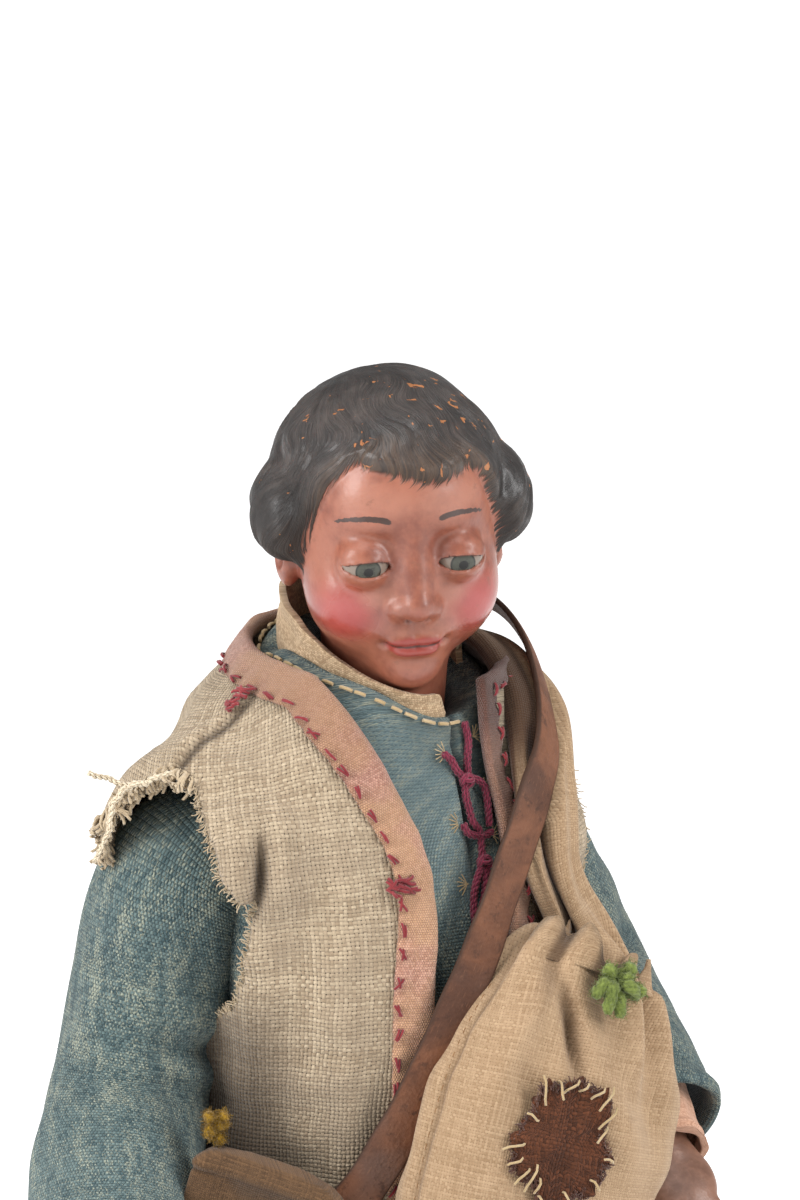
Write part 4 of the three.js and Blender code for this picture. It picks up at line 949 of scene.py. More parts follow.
def eye_finish():
    """Glass eye: a grey-green iris with a dark rim and pupil behind a clear gloss"""
    material, shader, r = finish_of("eye_glass")
    gaze = r.field("gaze")
    rays = r.noise(r.scaled(r.place(), (1, 1, 1)), 2600.0, 2.0)
    iris = r.mix("24251f", "404138", r.step(rays + gaze * 0.15, 0.4, 0.75))
    body = r.mix("100e0c", iris, r.step(gaze, 0.85, 1.05))
    body = r.mix(body, "23241f", r.step(gaze, 2.1, 2.45))
    body = r.mix(body, "7d6f64", r.step(gaze, 2.5, 2.75))
    r.fill(shader, {"Base Color": body, "Roughness": 0.16, "Specular IOR Level": 0.25})
    r.fill(shader, {"Coat Weight": 0.35, "Coat Roughness": 0.04})
    return material


def painted_wood():
    """Old flesh paint on carved hands and legs, with dark painted shoes"""
    material, shader, r = finish_of("painted_wood")
    place = r.place()
    drift = r.noise(place, 70.0, 4.0, 0.6)
    fine = r.noise(place, 500.0, 4.0, 0.65)
    body = r.mix("664637", "876250", r.step(drift * 0.7 + fine * 0.3, 0.38, 0.62))
    # darker in the hollows, and on the wrist inside the cuff as painted shade
    body = r.mix(body, "4f3427", r.step(r.field("hollow"), 0.04, 0.35) * 0.7)
    body = r.mix(body, "9a7a69", r.step(fine, 0.6, 0.72) * 0.45)
    shoe = r.step(r.field("shoe"), 0.4, 0.6)
    leather_paint = r.mix("2c1f19", "4e382b", r.step(drift, 0.4, 0.64))
    body = r.mix(body, leather_paint, shoe)
    rough = r.step(drift, 0.3, 0.7, 0.48, 0.36)
    r.fill(shader, {"Base Color": body, "Roughness": rough, "Normal": r.relief(fine + drift * 0.6, 0.00018)})
    return material


def stained_wood():
    material, shader, r = finish_of("stained_wood")
    grain = r.noise(r.scaled(r.place(), (3, 55, 60)), 6.0, 4.0, 0.6, 0.6)
    pores = r.noise(r.scaled(r.place(), (20, 420, 420)), 3.0, 3.0, 0.6)
    body = r.mix("2f2019", "5d4230", r.step(grain, 0.36, 0.64))
    body = r.mix(body, "1d1410", r.step(pores, 0.58, 0.72) * 0.6)
    wear = r.group(STAINS, Place=r.place(), Size=40.0, Start=0.58)
    body = r.mix(body, "6d5341", wear["Blotch"] * 0.4)
    rough = r.step(grain, 0.3, 0.7, 0.55, 0.42)
    normal = r.relief(grain * 0.5 + pores * 0.5, 0.00025)
    r.fill(shader, {"Base Color": body, "Roughness": rough, "Normal": normal})
    return material


COARSE_LINEN = cloth(
    "coarse_linen", (1.2, 1.2), "cab79c", "b3a086", "87735b",
    sway=1.1, slub=0.7, depth=0.45, stain="857360", stain_start=0.5, stain_share=0.4,
    gap="3d2f20", gap_share=0.9, contrast=1.3, shade="3b2e24",
)
BLUE_WOOL = cloth(
    "blue_wool", (1.5, 1.5), "6f807d", "415a5e", "263a3f", weave="twill",
    sway=0.7, slub=0.6, depth=0.3, stain="33464a", stain_start=0.52, stain_share=0.3,
    gap="203036", gap_share=0.5, contrast=1.0, fleck="a2a592", fleck_share=0.34,
    worn="7b9093", sheen=0.12, shade="101a20",
)
CREAM_TWILL = cloth(
    "cream_twill", (2.0, 2.4), "d4ba99", "b99c7b", "917658", weave="twill",
    sway=0.4, slub=0.2, depth=0.12, stain="7a5d3d", stain_start=0.5, stain_share=0.4,
    gap="6c5537", gap_share=0.5,
)
PEACH_COTTON = cloth(
    "peach_cotton", (2.4, 2.4), "dcb39a", "c19276", "a0725a", depth=0.08, sway=0.5, slub=0.25,
    stain="83593f", stain_start=0.52, stain_share=0.4, gap="70493a", gap_share=0.4,
)
PINK_RIBBON = cloth(
    "pink_ribbon", (2.1, 2.1), "d8a894", "c4917d", "a57361", weave="twill",
    sway=0.2, slub=0.15, depth=0.24, stain="c39c69", stain_start=0.4, stain_size=26.0, stain_share=0.5,
    gap="8a5645", gap_share=0.65, contrast=1.2, sheen=0.3, shade="53352a",
)
SACK_LINEN = cloth(
    "sack_linen", (1.9, 1.9), "bea283", "a38767", "806448", sway=0.35, slub=0.25, depth=0.14,
    stain="8a6a48", stain_start=0.53, stain_share=0.4,
    gap="5a4129", gap_share=0.6, contrast=0.7, shade="3a2416",
)
POUCH_LINEN = cloth(
    "pouch_linen", (2.1, 2.1), "76583c", "5c432b", "3d2b1b", sway=0.4, slub=0.3, depth=0.14,
    stain="3c2b1c", stain_start=0.48, stain_share=0.5,
    gap="33241a", gap_share=0.5, contrast=0.8, shade="1f150d",
)
PATCH_WOOL = cloth(
    "patch_wool", (1.5, 1.5), "71422a", "4f2d1b", "2b170c", sway=1.0, slub=0.9, depth=0.4,
    stain="20110a", stain_start=0.5, stain_share=0.6, gap="180d08", gap_share=0.6, contrast=1.3, sheen=0.03,
)
BROWN_WOOL = cloth(
    "brown_wool", (1.4, 1.4), "54392c", "3d291b", "24170f", weave="twill", depth=0.2,
    stain="1b110b", stain_start=0.52, gap="160d08", sheen=0.2,
)
CREAM_THREAD = yarn("cream_thread", "dccbac", "a89068", 1.2)
LINEN_THREAD = yarn("linen_thread", "dccdb3", "ab977a", 1.0)
RED_THREAD = yarn("red_thread", "b04443", "742026", 1.2)
CRIMSON = yarn("crimson_cord", "7f2a40", "401020", 0.9, 0.2)
GREEN_WOOL = yarn("green_wool", "7d8b44", "404c20", 0.6, 0.2, 0.95, 0.12)
YELLOW_WOOL = yarn("yellow_wool", "98751b", "4e3708", 0.6, 0.2, 0.95, 0.12)
BLUE_FUZZ = yarn("blue_fuzz", "7c908e", "3f5559", 0.5)
OCHRE_THREAD = yarn("ochre_thread", "a67d4e", "75512c", 1.0)
PATCH_FIBRE = yarn("patch_fibre", "8c5c40", "45261a", 0.5)
LEATHER = leather()
SKIN = painted_head()
EYE_GLASS = eye_finish()
FLESH = painted_wood()
STAINED = stained_wood()


# Threads that are sewn, frayed or fluffed
THREAD_INPUTS = {
    "Geometry": "Geometry", "Radius": "Float", "Arch": "Float", "Curl": "Float", "Spread": "Float",
    "Bends": "Int", "Sides": "Int", "Seed": "Int", "Material": "Material",
}


def thread_tree():
    """Short threads on points that carry their run, their outward look and their length"""
    tree = bpy.data.node_groups.new("short_threads", "GeometryNodeTree")
    face = tree.interface
    for key, kind in THREAD_INPUTS.items():
        face.new_socket(key, in_out="INPUT", socket_type="NodeSocket" + kind)
    face.new_socket("Geometry", in_out="OUTPUT", socket_type="NodeSocketGeometry")
    r = Recipe(tree)
    start, end = tree.nodes.new("NodeGroupInput"), tree.nodes.new("NodeGroupOutput")
    given = {socket.name: Value(tree, socket) for socket in start.outputs if socket.name}

    def carried(name, kind):
        return r.node("GeometryNodeInputNamedAttribute", {"Name": name}, data_type=kind)

    bend = {"Start": (-0.5, 0, 0), "End": (0.5, 0, 0), "Resolution": given["Bends"]}
    bend["Start Handle"] = r.joined(-0.3, given["Curl"], given["Arch"])
    bend["End Handle"] = r.joined(0.3, given["Curl"] * -1.0, given["Arch"])
    line = r.node("GeometryNodeCurvePrimitiveBezierSegment", bend)
    section = {"Resolution": given["Sides"], "Radius": given["Radius"]}
    ring = r.node("GeometryNodeCurvePrimitiveCircle", section)
    thread = r.node("GeometryNodeCurveToMesh", {"Curve": line, "Profile Curve": ring, "Fill Caps": True})
    turn = r.node(
        "FunctionNodeAxesToRotation",
        {"Primary Axis": carried("along", "FLOAT_VECTOR"), "Secondary Axis": carried("up", "FLOAT_VECTOR")},
        primary_axis="X", secondary_axis="Z",
    )
    luck = r.node("FunctionNodeRandomValue", {"Seed": given["Seed"]}, output=1, data_type="FLOAT")
    share = (luck - 0.5) * given["Spread"] + 1.0
    scale = r.joined(carried("length", "FLOAT") * share, 1.0, 1.0)
    spots = r.node("GeometryNodeMeshToPoints", {"Mesh": given["Geometry"]})
    laid = {"Points": spots, "Instance": thread, "Rotation": turn, "Scale": scale}
    laid = r.node("GeometryNodeInstanceOnPoints", laid)
    real = r.node("GeometryNodeRealizeInstances", {"Geometry": laid})
    done = r.node("GeometryNodeSetMaterial", {"Geometry": real, "Material": given["Material"]})
    r.fill(end, {"Geometry": done})
    return tree


THREADS = thread_tree()


def threads(
    name, slot, points, along, up, length, material,
    radius=0.22, arch=0.4, curl=0.0, spread=0.3, bends=4, sides=5, seed=3,
):
    """One piece made of short threads; all sizes in millimetres"""
    points = np.asarray(points, float)
    mesh = bpy.data.meshes.new(name + "_points")
    mesh.from_pydata((points * 0.001).tolist(), [], [])
    carry(mesh, "length", np.broadcast_to(np.asarray(length, float), len(points)) * 0.001)
    for key, value in (("along", along), ("up", up)):
        carry(mesh, key, np.broadcast_to(np.asarray(value, float), points.shape))
    piece = linked(name, mesh)
    work = piece.modifiers.new("threads", "NODES")
    work.node_group = THREADS
    settings = {
        "Radius": radius * 0.001, "Arch": arch * 0.001, "Curl": curl * 0.001, "Spread": spread,
        "Bends": bends, "Sides": sides, "Seed": seed, "Material": material,
    }
    for socket in THREADS.interface.items_tree:
        if socket.name in settings:
            work[socket.identifier] = settings[socket.name]
    result = bpy.data.meshes.new_from_object(piece.evaluated_get(bpy.context.evaluated_depsgraph_get()))
    result.name = name
    piece.modifiers.remove(work)
    piece.data = result
    bpy.data.meshes.remove(mesh)
    result.shade_smooth()
    return finished(piece, slot)


def grid_outward(place, loop):
    """Normals of a grid, all turned away from its middle"""
    out = grid_normals(place, loop)
    return out if (out * (place - place.mean((0, 1)))).sum(-1).mean() > 0 else -out


def fluff(name, slot, pieces, count, length, material, seed, radius=0.035, lift=0.5):
    """Loose fibres standing off grids of cloth. Each piece is its places and their outward looks."""
    rng = np.random.default_rng(seed)
    spots, ways, looks = [], [], []
    total = sum(place.shape[0] * place.shape[1] for place, _ in pieces)
    for place, out in pieces:
        share = int(count * place.shape[0] * place.shape[1] / total)
        rows, columns = rng.integers(1, place.shape[0] - 1, share), rng.integers(1, place.shape[1] - 1, share)
        lean = rng.normal(size=(len(rows), 3))
        way = unit(out[rows, columns] * lift + unit(lean) * (1 - lift * 0.4))
        step = place[rows + 1, columns] - place[rows, columns]
        spots.append(place[rows, columns] + step * rng.random((len(rows), 1)) + way * length * 0.35)
        ways.append(way)
        looks.append(unit(np.cross(way, rng.normal(size=(len(rows), 3)))))
    points = np.concatenate(spots)
    size = length * rng.uniform(0.5, 1.4, len(points))
    return threads(
        name, slot, points, np.concatenate(ways), np.concatenate(looks), size, material,
        radius=radius, arch=length * 0.25, curl=length * 0.15, spread=0.5, bends=3, sides=3, seed=seed,
    )


# Head
HEAD_AT = np.array([0, -8, 330.0])
HEAD_ANGLES = ((-3, "Y"), (13, "X"), (-18, "Z"))
LEAN, NOD, TURN = (Matrix.Rotation(math.radians(angle), 3, axis) for angle, axis in HEAD_ANGLES)
HEAD_TURN = np.array(TURN @ NOD @ LEAN)
EYE, EYE_RADIUS = np.array([9.2, -18.5, 0.4]), 5.0
NECK_FOOT = (np.array([0, -3.5, 290.0]) - HEAD_AT) @ HEAD_TURN
CROWN = unit(np.array([-0.3, 0.28, 1.0]))


def to_world(local):
    return local @ HEAD_TURN.T + HEAD_AT


def mirrored(p):
    return np.concatenate([np.abs(p[..., :1]), p[..., 1:]], -1)


def lid_edges(e):
    """Heights of the upper and lower lid edges above the eye's middle, by distance from it"""
    upper = 1.35 - 0.05 * e**2 - 0.02 * e
    lower = -1.6 + 0.05 * e**2 + 0.02 * e
    return upper, lower


# Lower edge of the hair at the side: depth and height, from the forehead back to the nape
HAIR_SIDE = (
    (-17, 24), (-13, 12), (-10, 2), (-8, -5), (-6, -4.5), (-3, -3), (3, -5), (8, -9), (12, -15),
    (17, -19), (22, -19),
)


def hair_low(p):
    """Lower edge of the hair by place: over the forehead, down the temple, round the ear and the nape"""
    x, y, _ = np.moveaxis(p, -1, 0)
    front = 18.6 - 2.4 * bump(x - 6, 7) + 1.9 * bump(x + 12.5, 4) - 3.2 * smooth(x, 12, 19)
    return np.minimum(front, np.interp(y, *np.transpose(HAIR_SIDE)))


def skull_distance(p):
    d = ball(p, (0, 3.5, 6), (21.5, 23.5, 22.5))
    d = join(d, ball(p, (0, -6, -7.5), (18.2, 16.5, 19.5)), 7)
    return join(d, ball(p, (0, -13, 12), (12, 8.2, 9)), 8)


def skin_distance(p):
    m = mirrored(p)
    d = skull_distance(p)
    d = join(d, ball(m, (9.4, -11.5, -9.5), (8.6, 8.6, 8.6)), 5)
    d = join(d, ball(p, (0, -16.6, -22.8), (6, 5.2, 4.8)), 5)
    d = join(d, ball(p, (0, -14.5, -15.5), (8.5, 7, 6)), 4)
    d = carve(d, ball(m, (9.0, -25.7, 3.0), (8.4, 5.0, 3.8)), 4)
    d = d - 0.7 * bump(m[..., 2] - 7.8, 2.4) * bump(m[..., 0] - 9, 6) * smooth(-m[..., 1], 8, 14)
    d = join(d, ball(m, EYE, 5.5), 1.6)
    e, f = m[..., 0] - EYE[0], m[..., 2] - EYE[2]
    upper, lower = lid_edges(e)
    front = m[..., 1] - EYE[1] + 1.5
    behind = 4.6 - np.linalg.norm(m - EYE, axis=-1)
    slit = np.maximum.reduce([(f - upper) * 0.9, (lower - f) * 0.9, front, behind])
    d = carve(d, slit, 0.3)
    on_lid = bump(front + 3.5, 3.5) * smooth(np.abs(e), 7.5, 5.5)
    d = d + 0.22 * bump(f - upper - 1.3 + 0.015 * e**2, 0.4) * on_lid * smooth(np.abs(e), 6.2, 3.5)
    d = join(d, rod(p, (0, -20.6, 3), (0, -24.2, -6.8), 2.3, 2.7), 4.5)
    d = join(d, ball(p, (0, -24.5, -7.9), (2.8, 2.5, 2.5)), 1.8)
    d = join(d, ball(m, (3.2, -22.5, -8.6), (2.0, 2.4, 1.9)), 1.8)
    d = carve(d, ball(m, (1.75, -24.1, -10.3), (0.95, 1.3, 0.7)), 0.7)
    d = join(d, ball(p, (0, -20.4, -13.2), (6.5, 3.0, 4.0)), 3)
    d = carve(d, rod(p, (0, -24.4, -11.2), (0, -24.3, -13.6), 0.8, 0.9), 1.3)
    d = join(d, ball(m, (1.9, -22.4, -15.1), (3.4, 1.7, 1.1)), 1.1)
    d = join(d, ball(m, (1.0, -22.2, -17.5), (3.3, 1.9, 1.4)), 1.3)
    part = ball(p, (0, -24.4, -16.25), (5.6, 3.1, 0.24)) + 0.03 * m[..., 0]
    d = carve(d, part, 0.5)
    d = carve(d, ball(m, (6.1, -21.4, -16.3), (0.7, 0.9, 0.6)), 1.4)
    d = carve(d, ball(p, (0, -23.7, -20.2), (4.0, 1.4, 0.9)), 2)
    ear = ball(m, (20.6, 2.2, -5.2), (2.6, 4.4, 6.6))
    ear = carve(ear, ball(m, (23.4, 1.0, -4.4), (2.0, 2.4, 3.6)), 0.8)
    d = join(d, ear, 1.5)
    return join(d, rod(p, (0, 4, -12), NECK_FOOT, 13.2, 12.4), 5)


def hair_flow(p):
    """How far round the crown a place lies, and how far down from it"""
    q = unit(p - np.array([0, 3, 2.0]))
    down = np.arccos(np.clip(q @ CROWN, -1, 1))
    first = unit(np.cross(CROWN, [0, 1.0, 0]))
    second = np.cross(CROWN, first)
    return np.arctan2(q @ second, q @ first), down


def strand_turn(p):
    """The turn round the crown that a strand keeps while it sweeps down in soft curves"""
    turn, down = hair_flow(p)
    sway = 0.16 * np.sin(down * 4.2 + 2 * np.sin(turn * 2))
    return turn + 0.55 * down + sway + 0.1 * ripples(p, 17, 5, 6), down


def locks(p):
    """Height of the carved locks: broad waves that run down from the crown, with finer strands on them"""
    turn, down = strand_turn(p)
    wander = ripples(p, 15, 6, 6)
    broad = np.abs(np.sin(turn * 5.5 + 0.5 * np.sin(down * 5) + 0.4 * wander))
    middle = np.abs(np.sin(turn * 14 + 1.1 * wander + 1.0))
    fine = np.sin(turn * 58 + wander * 3.0)
    calm = smooth(down, 0.08, 0.45)
    return (1.15 * (broad**0.7 - 0.6) + 0.5 * (middle**0.8 - 0.5) + 0.09 * fine) * calm


def hair_distance(p):
    m = mirrored(p)
    edge = p[..., 2] - hair_low(p)
    lying = skull_distance(p) - 0.3 - 1.5 * smooth(edge, -0.8, 3.5) + 2.5 * smooth(edge, 0.4, -1.5)
    cap = ball(p, (0, 4.5, 7), (23.3, 25.2, 23.3))
    cap = join(cap, ball(m, (22, 0.5, 4.5), (5.4, 9.5, 9)), 3)
    cap = join(cap, ball(p, (0, 16.5, -5), (16.5, 8.5, 12.5)), 5)
    cap = -join(-cap, edge * 0.6 - 0.8, 3.5)
    d = join(cap, lying, 2)
    d = join(d, ball(m, (22.2, 0.2, 4.5), (5.2, 9.3, 9.2)), 2.5)
    return d - locks(p) * 0.6 * smooth(edge, -1.5, 4)


def head_distance(p):
    return join(skin_distance(p), hair_distance(p), 0.6)


def make_head():
    step = 0.5
    points, faces = skin_of(head_distance, (-31, -31, -42), (31, 34, 36), step)
    m = mirrored(points)
    x, y, z = np.moveaxis(points, -1, 0)
    side = m[:, 0]
    e, f = side - EYE[0], z - EYE[2]
    upper, lower = lid_edges(e)
    face = y < -12
    turn, down = strand_turn(points)
    lip_high, lip_low = -14.1 - 0.09 * side**2 * 0.35 - 0.35 * bump(x, 0.8), -18.9 + 0.062 * side**2
    in_front = y < -17
    lips = smooth(lip_high - z, -0.25, 0.35) * smooth(z - lip_low, -0.25, 0.35) * smooth(side, 6.2, 5.4)
    cheek = np.exp(-(((side - 13.2) / 6.4) ** 2) - ((z + 9.8) / 6.8) ** 2)
    chin, nose = 0.3 * bump(z + 24, 3.5) * bump(x, 6), 0.3 * bump(x, 3) * bump(z + 8.3, 2.5)
    brow_line = 9.9 - 0.035 * (side - 8) ** 2 - 0.02 * np.maximum(side - 11, 0) ** 2
    brow_wide = np.interp(side, [3, 5, 9, 16], [0.35, 0.62, 0.55, 0.25])
    brow = smooth(np.abs(z - brow_line) / brow_wide, 1.5, 0.4)
    lash = bump(f - upper - 0.05, 0.36) + 0.4 * bump(f - lower + 0.1, 0.3)
    fields = {
        "hollow": hollows(points, faces),
        # roll: where the side rolls of hair take painted shade
        "roll": smooth(side, 15, 20) * smooth(z, 17, 10),
        "hair_edge": np.clip(z - hair_low(points), -8, 14),
        "blush": np.clip(cheek + chin + nose, 0, 1.1) * (y < 2),
        "pale": (bump(side - 7, 9) * bump(z - 13, 5) + 0.7 * bump(side - 8, 4) * bump(z + 6.5, 3)) * face,
        "lip": lips * in_front,
        "mouth": bump(z + 16.25 - 0.01 * x**2, 0.3) * smooth(side, 6.4, 5.2) * in_front,
        "brow": brow * smooth(side, 4.0, 5.4) * smooth(side, 16.0, 13.5) * (y < -9),
        "lash": lash * smooth(np.abs(e), 5.2, 4.0) * in_front,
    }
    shape = Shape().add(to_world(points), faces, **fields)
    piece = shape.make("head_modelled", SKIN, merge=0)
    carry(piece.data, "strand", np.stack([np.cos(turn) * 9, np.sin(turn) * 9, down * 12], -1))
    finished(piece, "painted_terracotta", "head")


def make_eyes():
    for name, side in (("right_eye", -1), ("left_eye", 1)):
        at, turn = round_grid(33, 49)
        wide = at * PI
        look = unit(np.array([0.03 * side, -1, -0.1]))
        across = unit(np.cross(look, [0, 0, 1.0]))
        up = np.cross(across, look)
        ring = np.cos(turn)[..., None] * across + np.sin(turn)[..., None] * up
        ray = np.cos(wide)[..., None] * look + np.sin(wide)[..., None] * ring
        local = EYE * np.array([side, 1, 1]) + ray * EYE_RADIUS
        shape = Shape().grid(to_world(local), gaze=wide * EYE_RADIUS)
        finished(shape.make(name + "_glass", EYE_GLASS, outward=True), "eye_glass", name)


make_head()
make_eyes()


# Tunic with its sleeves
def round_pattern(line, at, angle, radius):
    """Pattern of cloth on a tube: round it at one radius, and along its middle line"""
    stops = np.linspace(0, 1, 201)
    run = np.interp(at, stops, lengths(line(stops)[:, :3]))
    return np.stack([angle * radius, run], -1)


def sleeve_fold(at, angle, side):
    inside = 0.5 + 0.5 * np.cos(angle - side)
    crease = bump(at - 0.58, 0.12) * inside**2 * np.sin(at * 62) * 0.9
    waves = 0.45 * np.sin(angle * 3 + at * 7) + 0.3 * np.sin(angle * 2 - at * 6)
    return crease + waves * (0.35 + 0.65 * at)


SLIT_X = 4.5
SQUEEZE = np.array([1, 1, 0.4]), np.array([1, 1, 0.25]), np.array([1, 1, 0.5])

# Hems turned in at the neck and the sleeves' ends: share of the rim's size, depth, run of the cloth, shade
NECK_AT = np.array([0, -2.5, 300.0])
NECK_TUCKS = ((0.95, -0.3, 1.0, 0.0), (0.88, 0.3, 2.2, 0.1), (0.72, 1.6, 5.5, 0.6), (0.6, 5.0, 9, 1.0))
SLEEVE_TUCKS = (
    (0.94, 0.0, 0.9, 0.1), (0.88, 0.9, 1.8, 0.5), (0.83, 4.0, 5, 0.9), (0.6, 7.0, 9, 1), (0.0, 7.2, 12, 1),
)
# Creases across the inside of the elbow: depth, place along the sleeve, width
ELBOW_CREASES = ((-2.2, 0.5, 0.03), (-1.6, 0.63, 0.028), (1.2, 0.43, 0.05))


def neck_rise(at, angle):
    """How much higher the tunic's neck sits in front on the figure's right side, and lower at the back"""
    lift = 3.2 * smooth(-np.cos(angle), -0.2, 0.6) * smooth(np.sin(angle), 0.45, -0.05)
    lift = lift + 2.0 * np.clip(bump(np.cos(angle) + 0.72, 0.4), 0, 1) * smooth(np.sin(angle), 0.1, -0.3)
    return smooth(at, 0.86, 1.0) * (lift - 1.6 * smooth(np.sin(angle), 0.0, 0.5))


def tunic_body():
    at, angle = round_grid(116, 197)
    place = on_body(TUNIC, at, angle)
    out = grid_outward(place, True)
    x, _, z = np.moveaxis(place, -1, 0)
    front = smooth(-np.sin(angle), 0.2, 0.6)
    opening = front * smooth(z, 252, 257) * smooth(np.abs(x - SLIT_X), 12, 8)
    folds = 0.9 * ripples(place * SQUEEZE[0], 15, 21) * smooth(at, 1.0, 0.85)
    folds = folds + 1.3 * ripples(place * SQUEEZE[1], 17, 22) * smooth(z, 200, 175)
    folds = folds - 1.3 * bump(x - SLIT_X, 0.45) * opening
    folds = folds + 0.5 * bump(np.abs(x - SLIT_X) - 1.7, 1.1) * opening
    folds = folds + 0.45 * bump(at - 0.985, 0.014) - 0.25 * bump(at - 0.945, 0.008) * front
    pattern = pattern_of(place)
    place = place + out * folds[..., None]
    place[..., 2] += neck_rise(at, angle)
    shade = np.clip(bump(x - SLIT_X, 0.45) * opening + 0.7 * smooth(z, 254, 228) * front, 0, 1)
    wear = 0.85 * front * smooth(z, 250, 268) * smooth(z, 300, 288) * smooth(x, SLIT_X + 1, SLIT_X - 3)
    return place, out, pattern, {"shade": shade, "wear": wear + 0.2 * front}


def sleeve_surface(side):
    at, angle = round_grid(118, 101)
    line = SLEEVES[side]
    place = on_tube(line, at, angle)
    middle = line(at)[..., :3]
    out = turned_out(grid_outward(place, True), place, middle)
    inside = 0.5 + 0.5 * np.cos(angle - ELBOW_INSIDE[side])
    folds = sleeve_fold(at, angle, ELBOW_INSIDE[side])
    folds = folds + 0.35 * ripples(place * SQUEEZE[2], 14, FOLD_SEED[side]) * smooth(at, 0.1, 0.3)
    for depth, spot, width in ELBOW_CREASES:
        folds = folds + depth * inside**2 * bump(at - spot, width)
    folds = folds + 1.2 * smooth(at, 0.5, 0.75)
    folds = folds + 0.75 * bump(at - 0.975, 0.016) - 0.5 * bump(at - 0.935, 0.008)
    wear = 0.2 * smooth(at, 0.55, 0.85) + 0.1 * bump(at - 0.25, 0.12)
    pattern = round_pattern(line, at, angle, 15)
    return place + out * folds[..., None], out, middle, pattern, {"shade": np.zeros(at.shape), "wear": wear}


def hemmed(shape, place, pattern, fields, rims, tucks):
    """Adds a grid of cloth whose last row is turned in along rims"""
    run, dark = (rows_of([tuck[k] for tuck in tucks], place.shape[1]) for k in (2, 3))
    turned = pattern[-1:] + run[..., None] * np.array([0, 1])
    shares = {"shade": 1, "wear": 0}
    fields = {name: np.concatenate([fields[name], dark * share]) for name, share in shares.items()}
    shape.grid(np.concatenate([place, *rims]), np.concatenate([pattern, turned]), **fields)


def make_tunic():
    shape = Shape()
    place, out, pattern, fields = tunic_body()
    kept = [(place, out)]
    rim = place[-1:] - NECK_AT
    rims = [
        NECK_AT + rim * np.array([share, share, 1]) - np.array([0, 0, down])
        for share, down, _, _ in NECK_TUCKS
    ]
    hemmed(shape, place, pattern, fields, rims, NECK_TUCKS)
    for side in ("right", "left"):
        place, out, middle, pattern, fields = sleeve_surface(side)
        kept.append((place, out))
        centre = middle[-1:, :1]
        along = unit(middle[-1, 0] - middle[-5, 0])
        rims = [centre + (place[-1:] - centre) * share - along * back for share, back, _, _ in SLEEVE_TUCKS]
        hemmed(shape, place, pattern, fields, rims, SLEEVE_TUCKS)
    piece = finished(shape.make("tunic_cloth", BLUE_WOOL), "blue_wool", "tunic")
    fluff("tunic_fluff", "blue_wool", kept, 3000, 0.9, BLUE_FUZZ, 41)


def on_tunic_front(x, z, grow):
    """Places on the tunic's front by distance from the middle and height"""
    x, z = np.broadcast_arrays(np.asarray(x, float), np.asarray(z, float))
    low, high = np.zeros(x.shape), np.ones(x.shape)
    for _ in range(24):
        half = (low + high) / 2
        angle = -np.arccos(np.clip(x / TUNIC(half)[..., 1], -1, 1))
        below = on_body(TUNIC, half, angle, grow)[..., 2] < z
        low, high = np.where(below, half, low), np.where(below, high, half)
    angle = -np.arccos(np.clip(x / TUNIC(low)[..., 1], -1, 1))
    return on_body(TUNIC, low, angle, grow)


# Lacing: each run of cord as distances from the middle and heights on the tunic's front
LACES = (
    ((6.3, 6.6, 6.0, 5.6), (292.5, 288, 284.5, 281.6)),
    ((1.0, 2.2, 3.6, 5.0), (287.4, 285.6, 283.2, 281.6)),
    ((5.4, 8.0, 9.6, 9.2), (281.9, 281.6, 278.6, 272.5)),
    ((5.0, 4.6, 5.4, 6.6, 6.2), (281.4, 277.6, 274.2, 271.4, 266.2)),
    ((3.2, 4.6, 7.2, 9.6), (273.6, 271.8, 270.6, 271.2)),
    ((6.2, 4.2, 2.8, 3.4, 4.8), (265.6, 262.4, 258.0, 253.4, 250.6)),
    ((6.6, 6.0, 4.6, 3.6, 2.2), (265.2, 260.6, 256.8, 252.6, 248.5)),
    ((6.8, 9.4, 11.6, 13.2), (264.8, 258.6, 252.2, 246.0)),
)


# Knots of the lacing: distance from the middle, height, radius
KNOTS = ((5.2, 281.6, 1.15), (6.5, 266.0, 1.2))


def twisted(shape, line, strands, lay, reach, radius, around, hint):
    """Adds strands that wind round a line, once in each lay; around is the run of their pattern round them"""
    along = unit(np.gradient(line, axis=0))
    side = unit(np.cross(along, hint))
    front = np.cross(along, side)
    turn = lengths(line) * 2 * PI / lay
    for k in range(strands):
        phase = (turn + k * 2 * PI / strands)[:, None]
        place = tube(line + reach * (np.cos(phase) * side + np.sin(phase) * front), radius, 7)
        shape.grid(place, tube_pattern(place, around))


def make_lacing():
    shape = Shape()
    for xs, zs in LACES:
        line = spline(on_tunic_front(xs, zs, 1.35), np.linspace(0, 1, 46))
        line = line + 0.25 * ripples(line, 6, 51)[:, None]
        twisted(shape, line, 3, 3.4, 0.42, 0.43, 2.6, [0.1, 1, 0.25])
    for x, z, radius in KNOTS:
        middle = on_tunic_front(x, z, 1.7)
        for k in range(4):
            t = np.linspace(0, 2 * PI, 40)
            tilt = Matrix.Rotation(k * 0.85, 3, Vector((0.3, 1, 0.2 * k)).normalized())
            loop = np.stack([np.cos(t), 0.35 * np.sin(2 * t + k), np.sin(t)], -1) * radius
            place = tube(middle + loop @ np.array(tilt).T, 0.48, 7)
            shape.grid(place, tube_pattern(place, 2.6))
    finished(shape.make("lacing_cord", CRIMSON, outward=True), "crimson_cord", "lacing")


# Waistcoat, its ribbon and its stitches
def edge_angle(at, side):
    levels = WAISTCOAT(at)
    if side == "right":
        return -np.arccos(np.clip(RIGHT_EDGE(at)[..., 0] / levels[..., 1], -1, 1))
    return -np.arccos(np.clip(LEFT_EDGE(at)[..., 0] / (levels[..., 1] - levels[..., 2]), -1, 1)) - 2 * PI


WAISTCOAT_GRID = (130, 290)
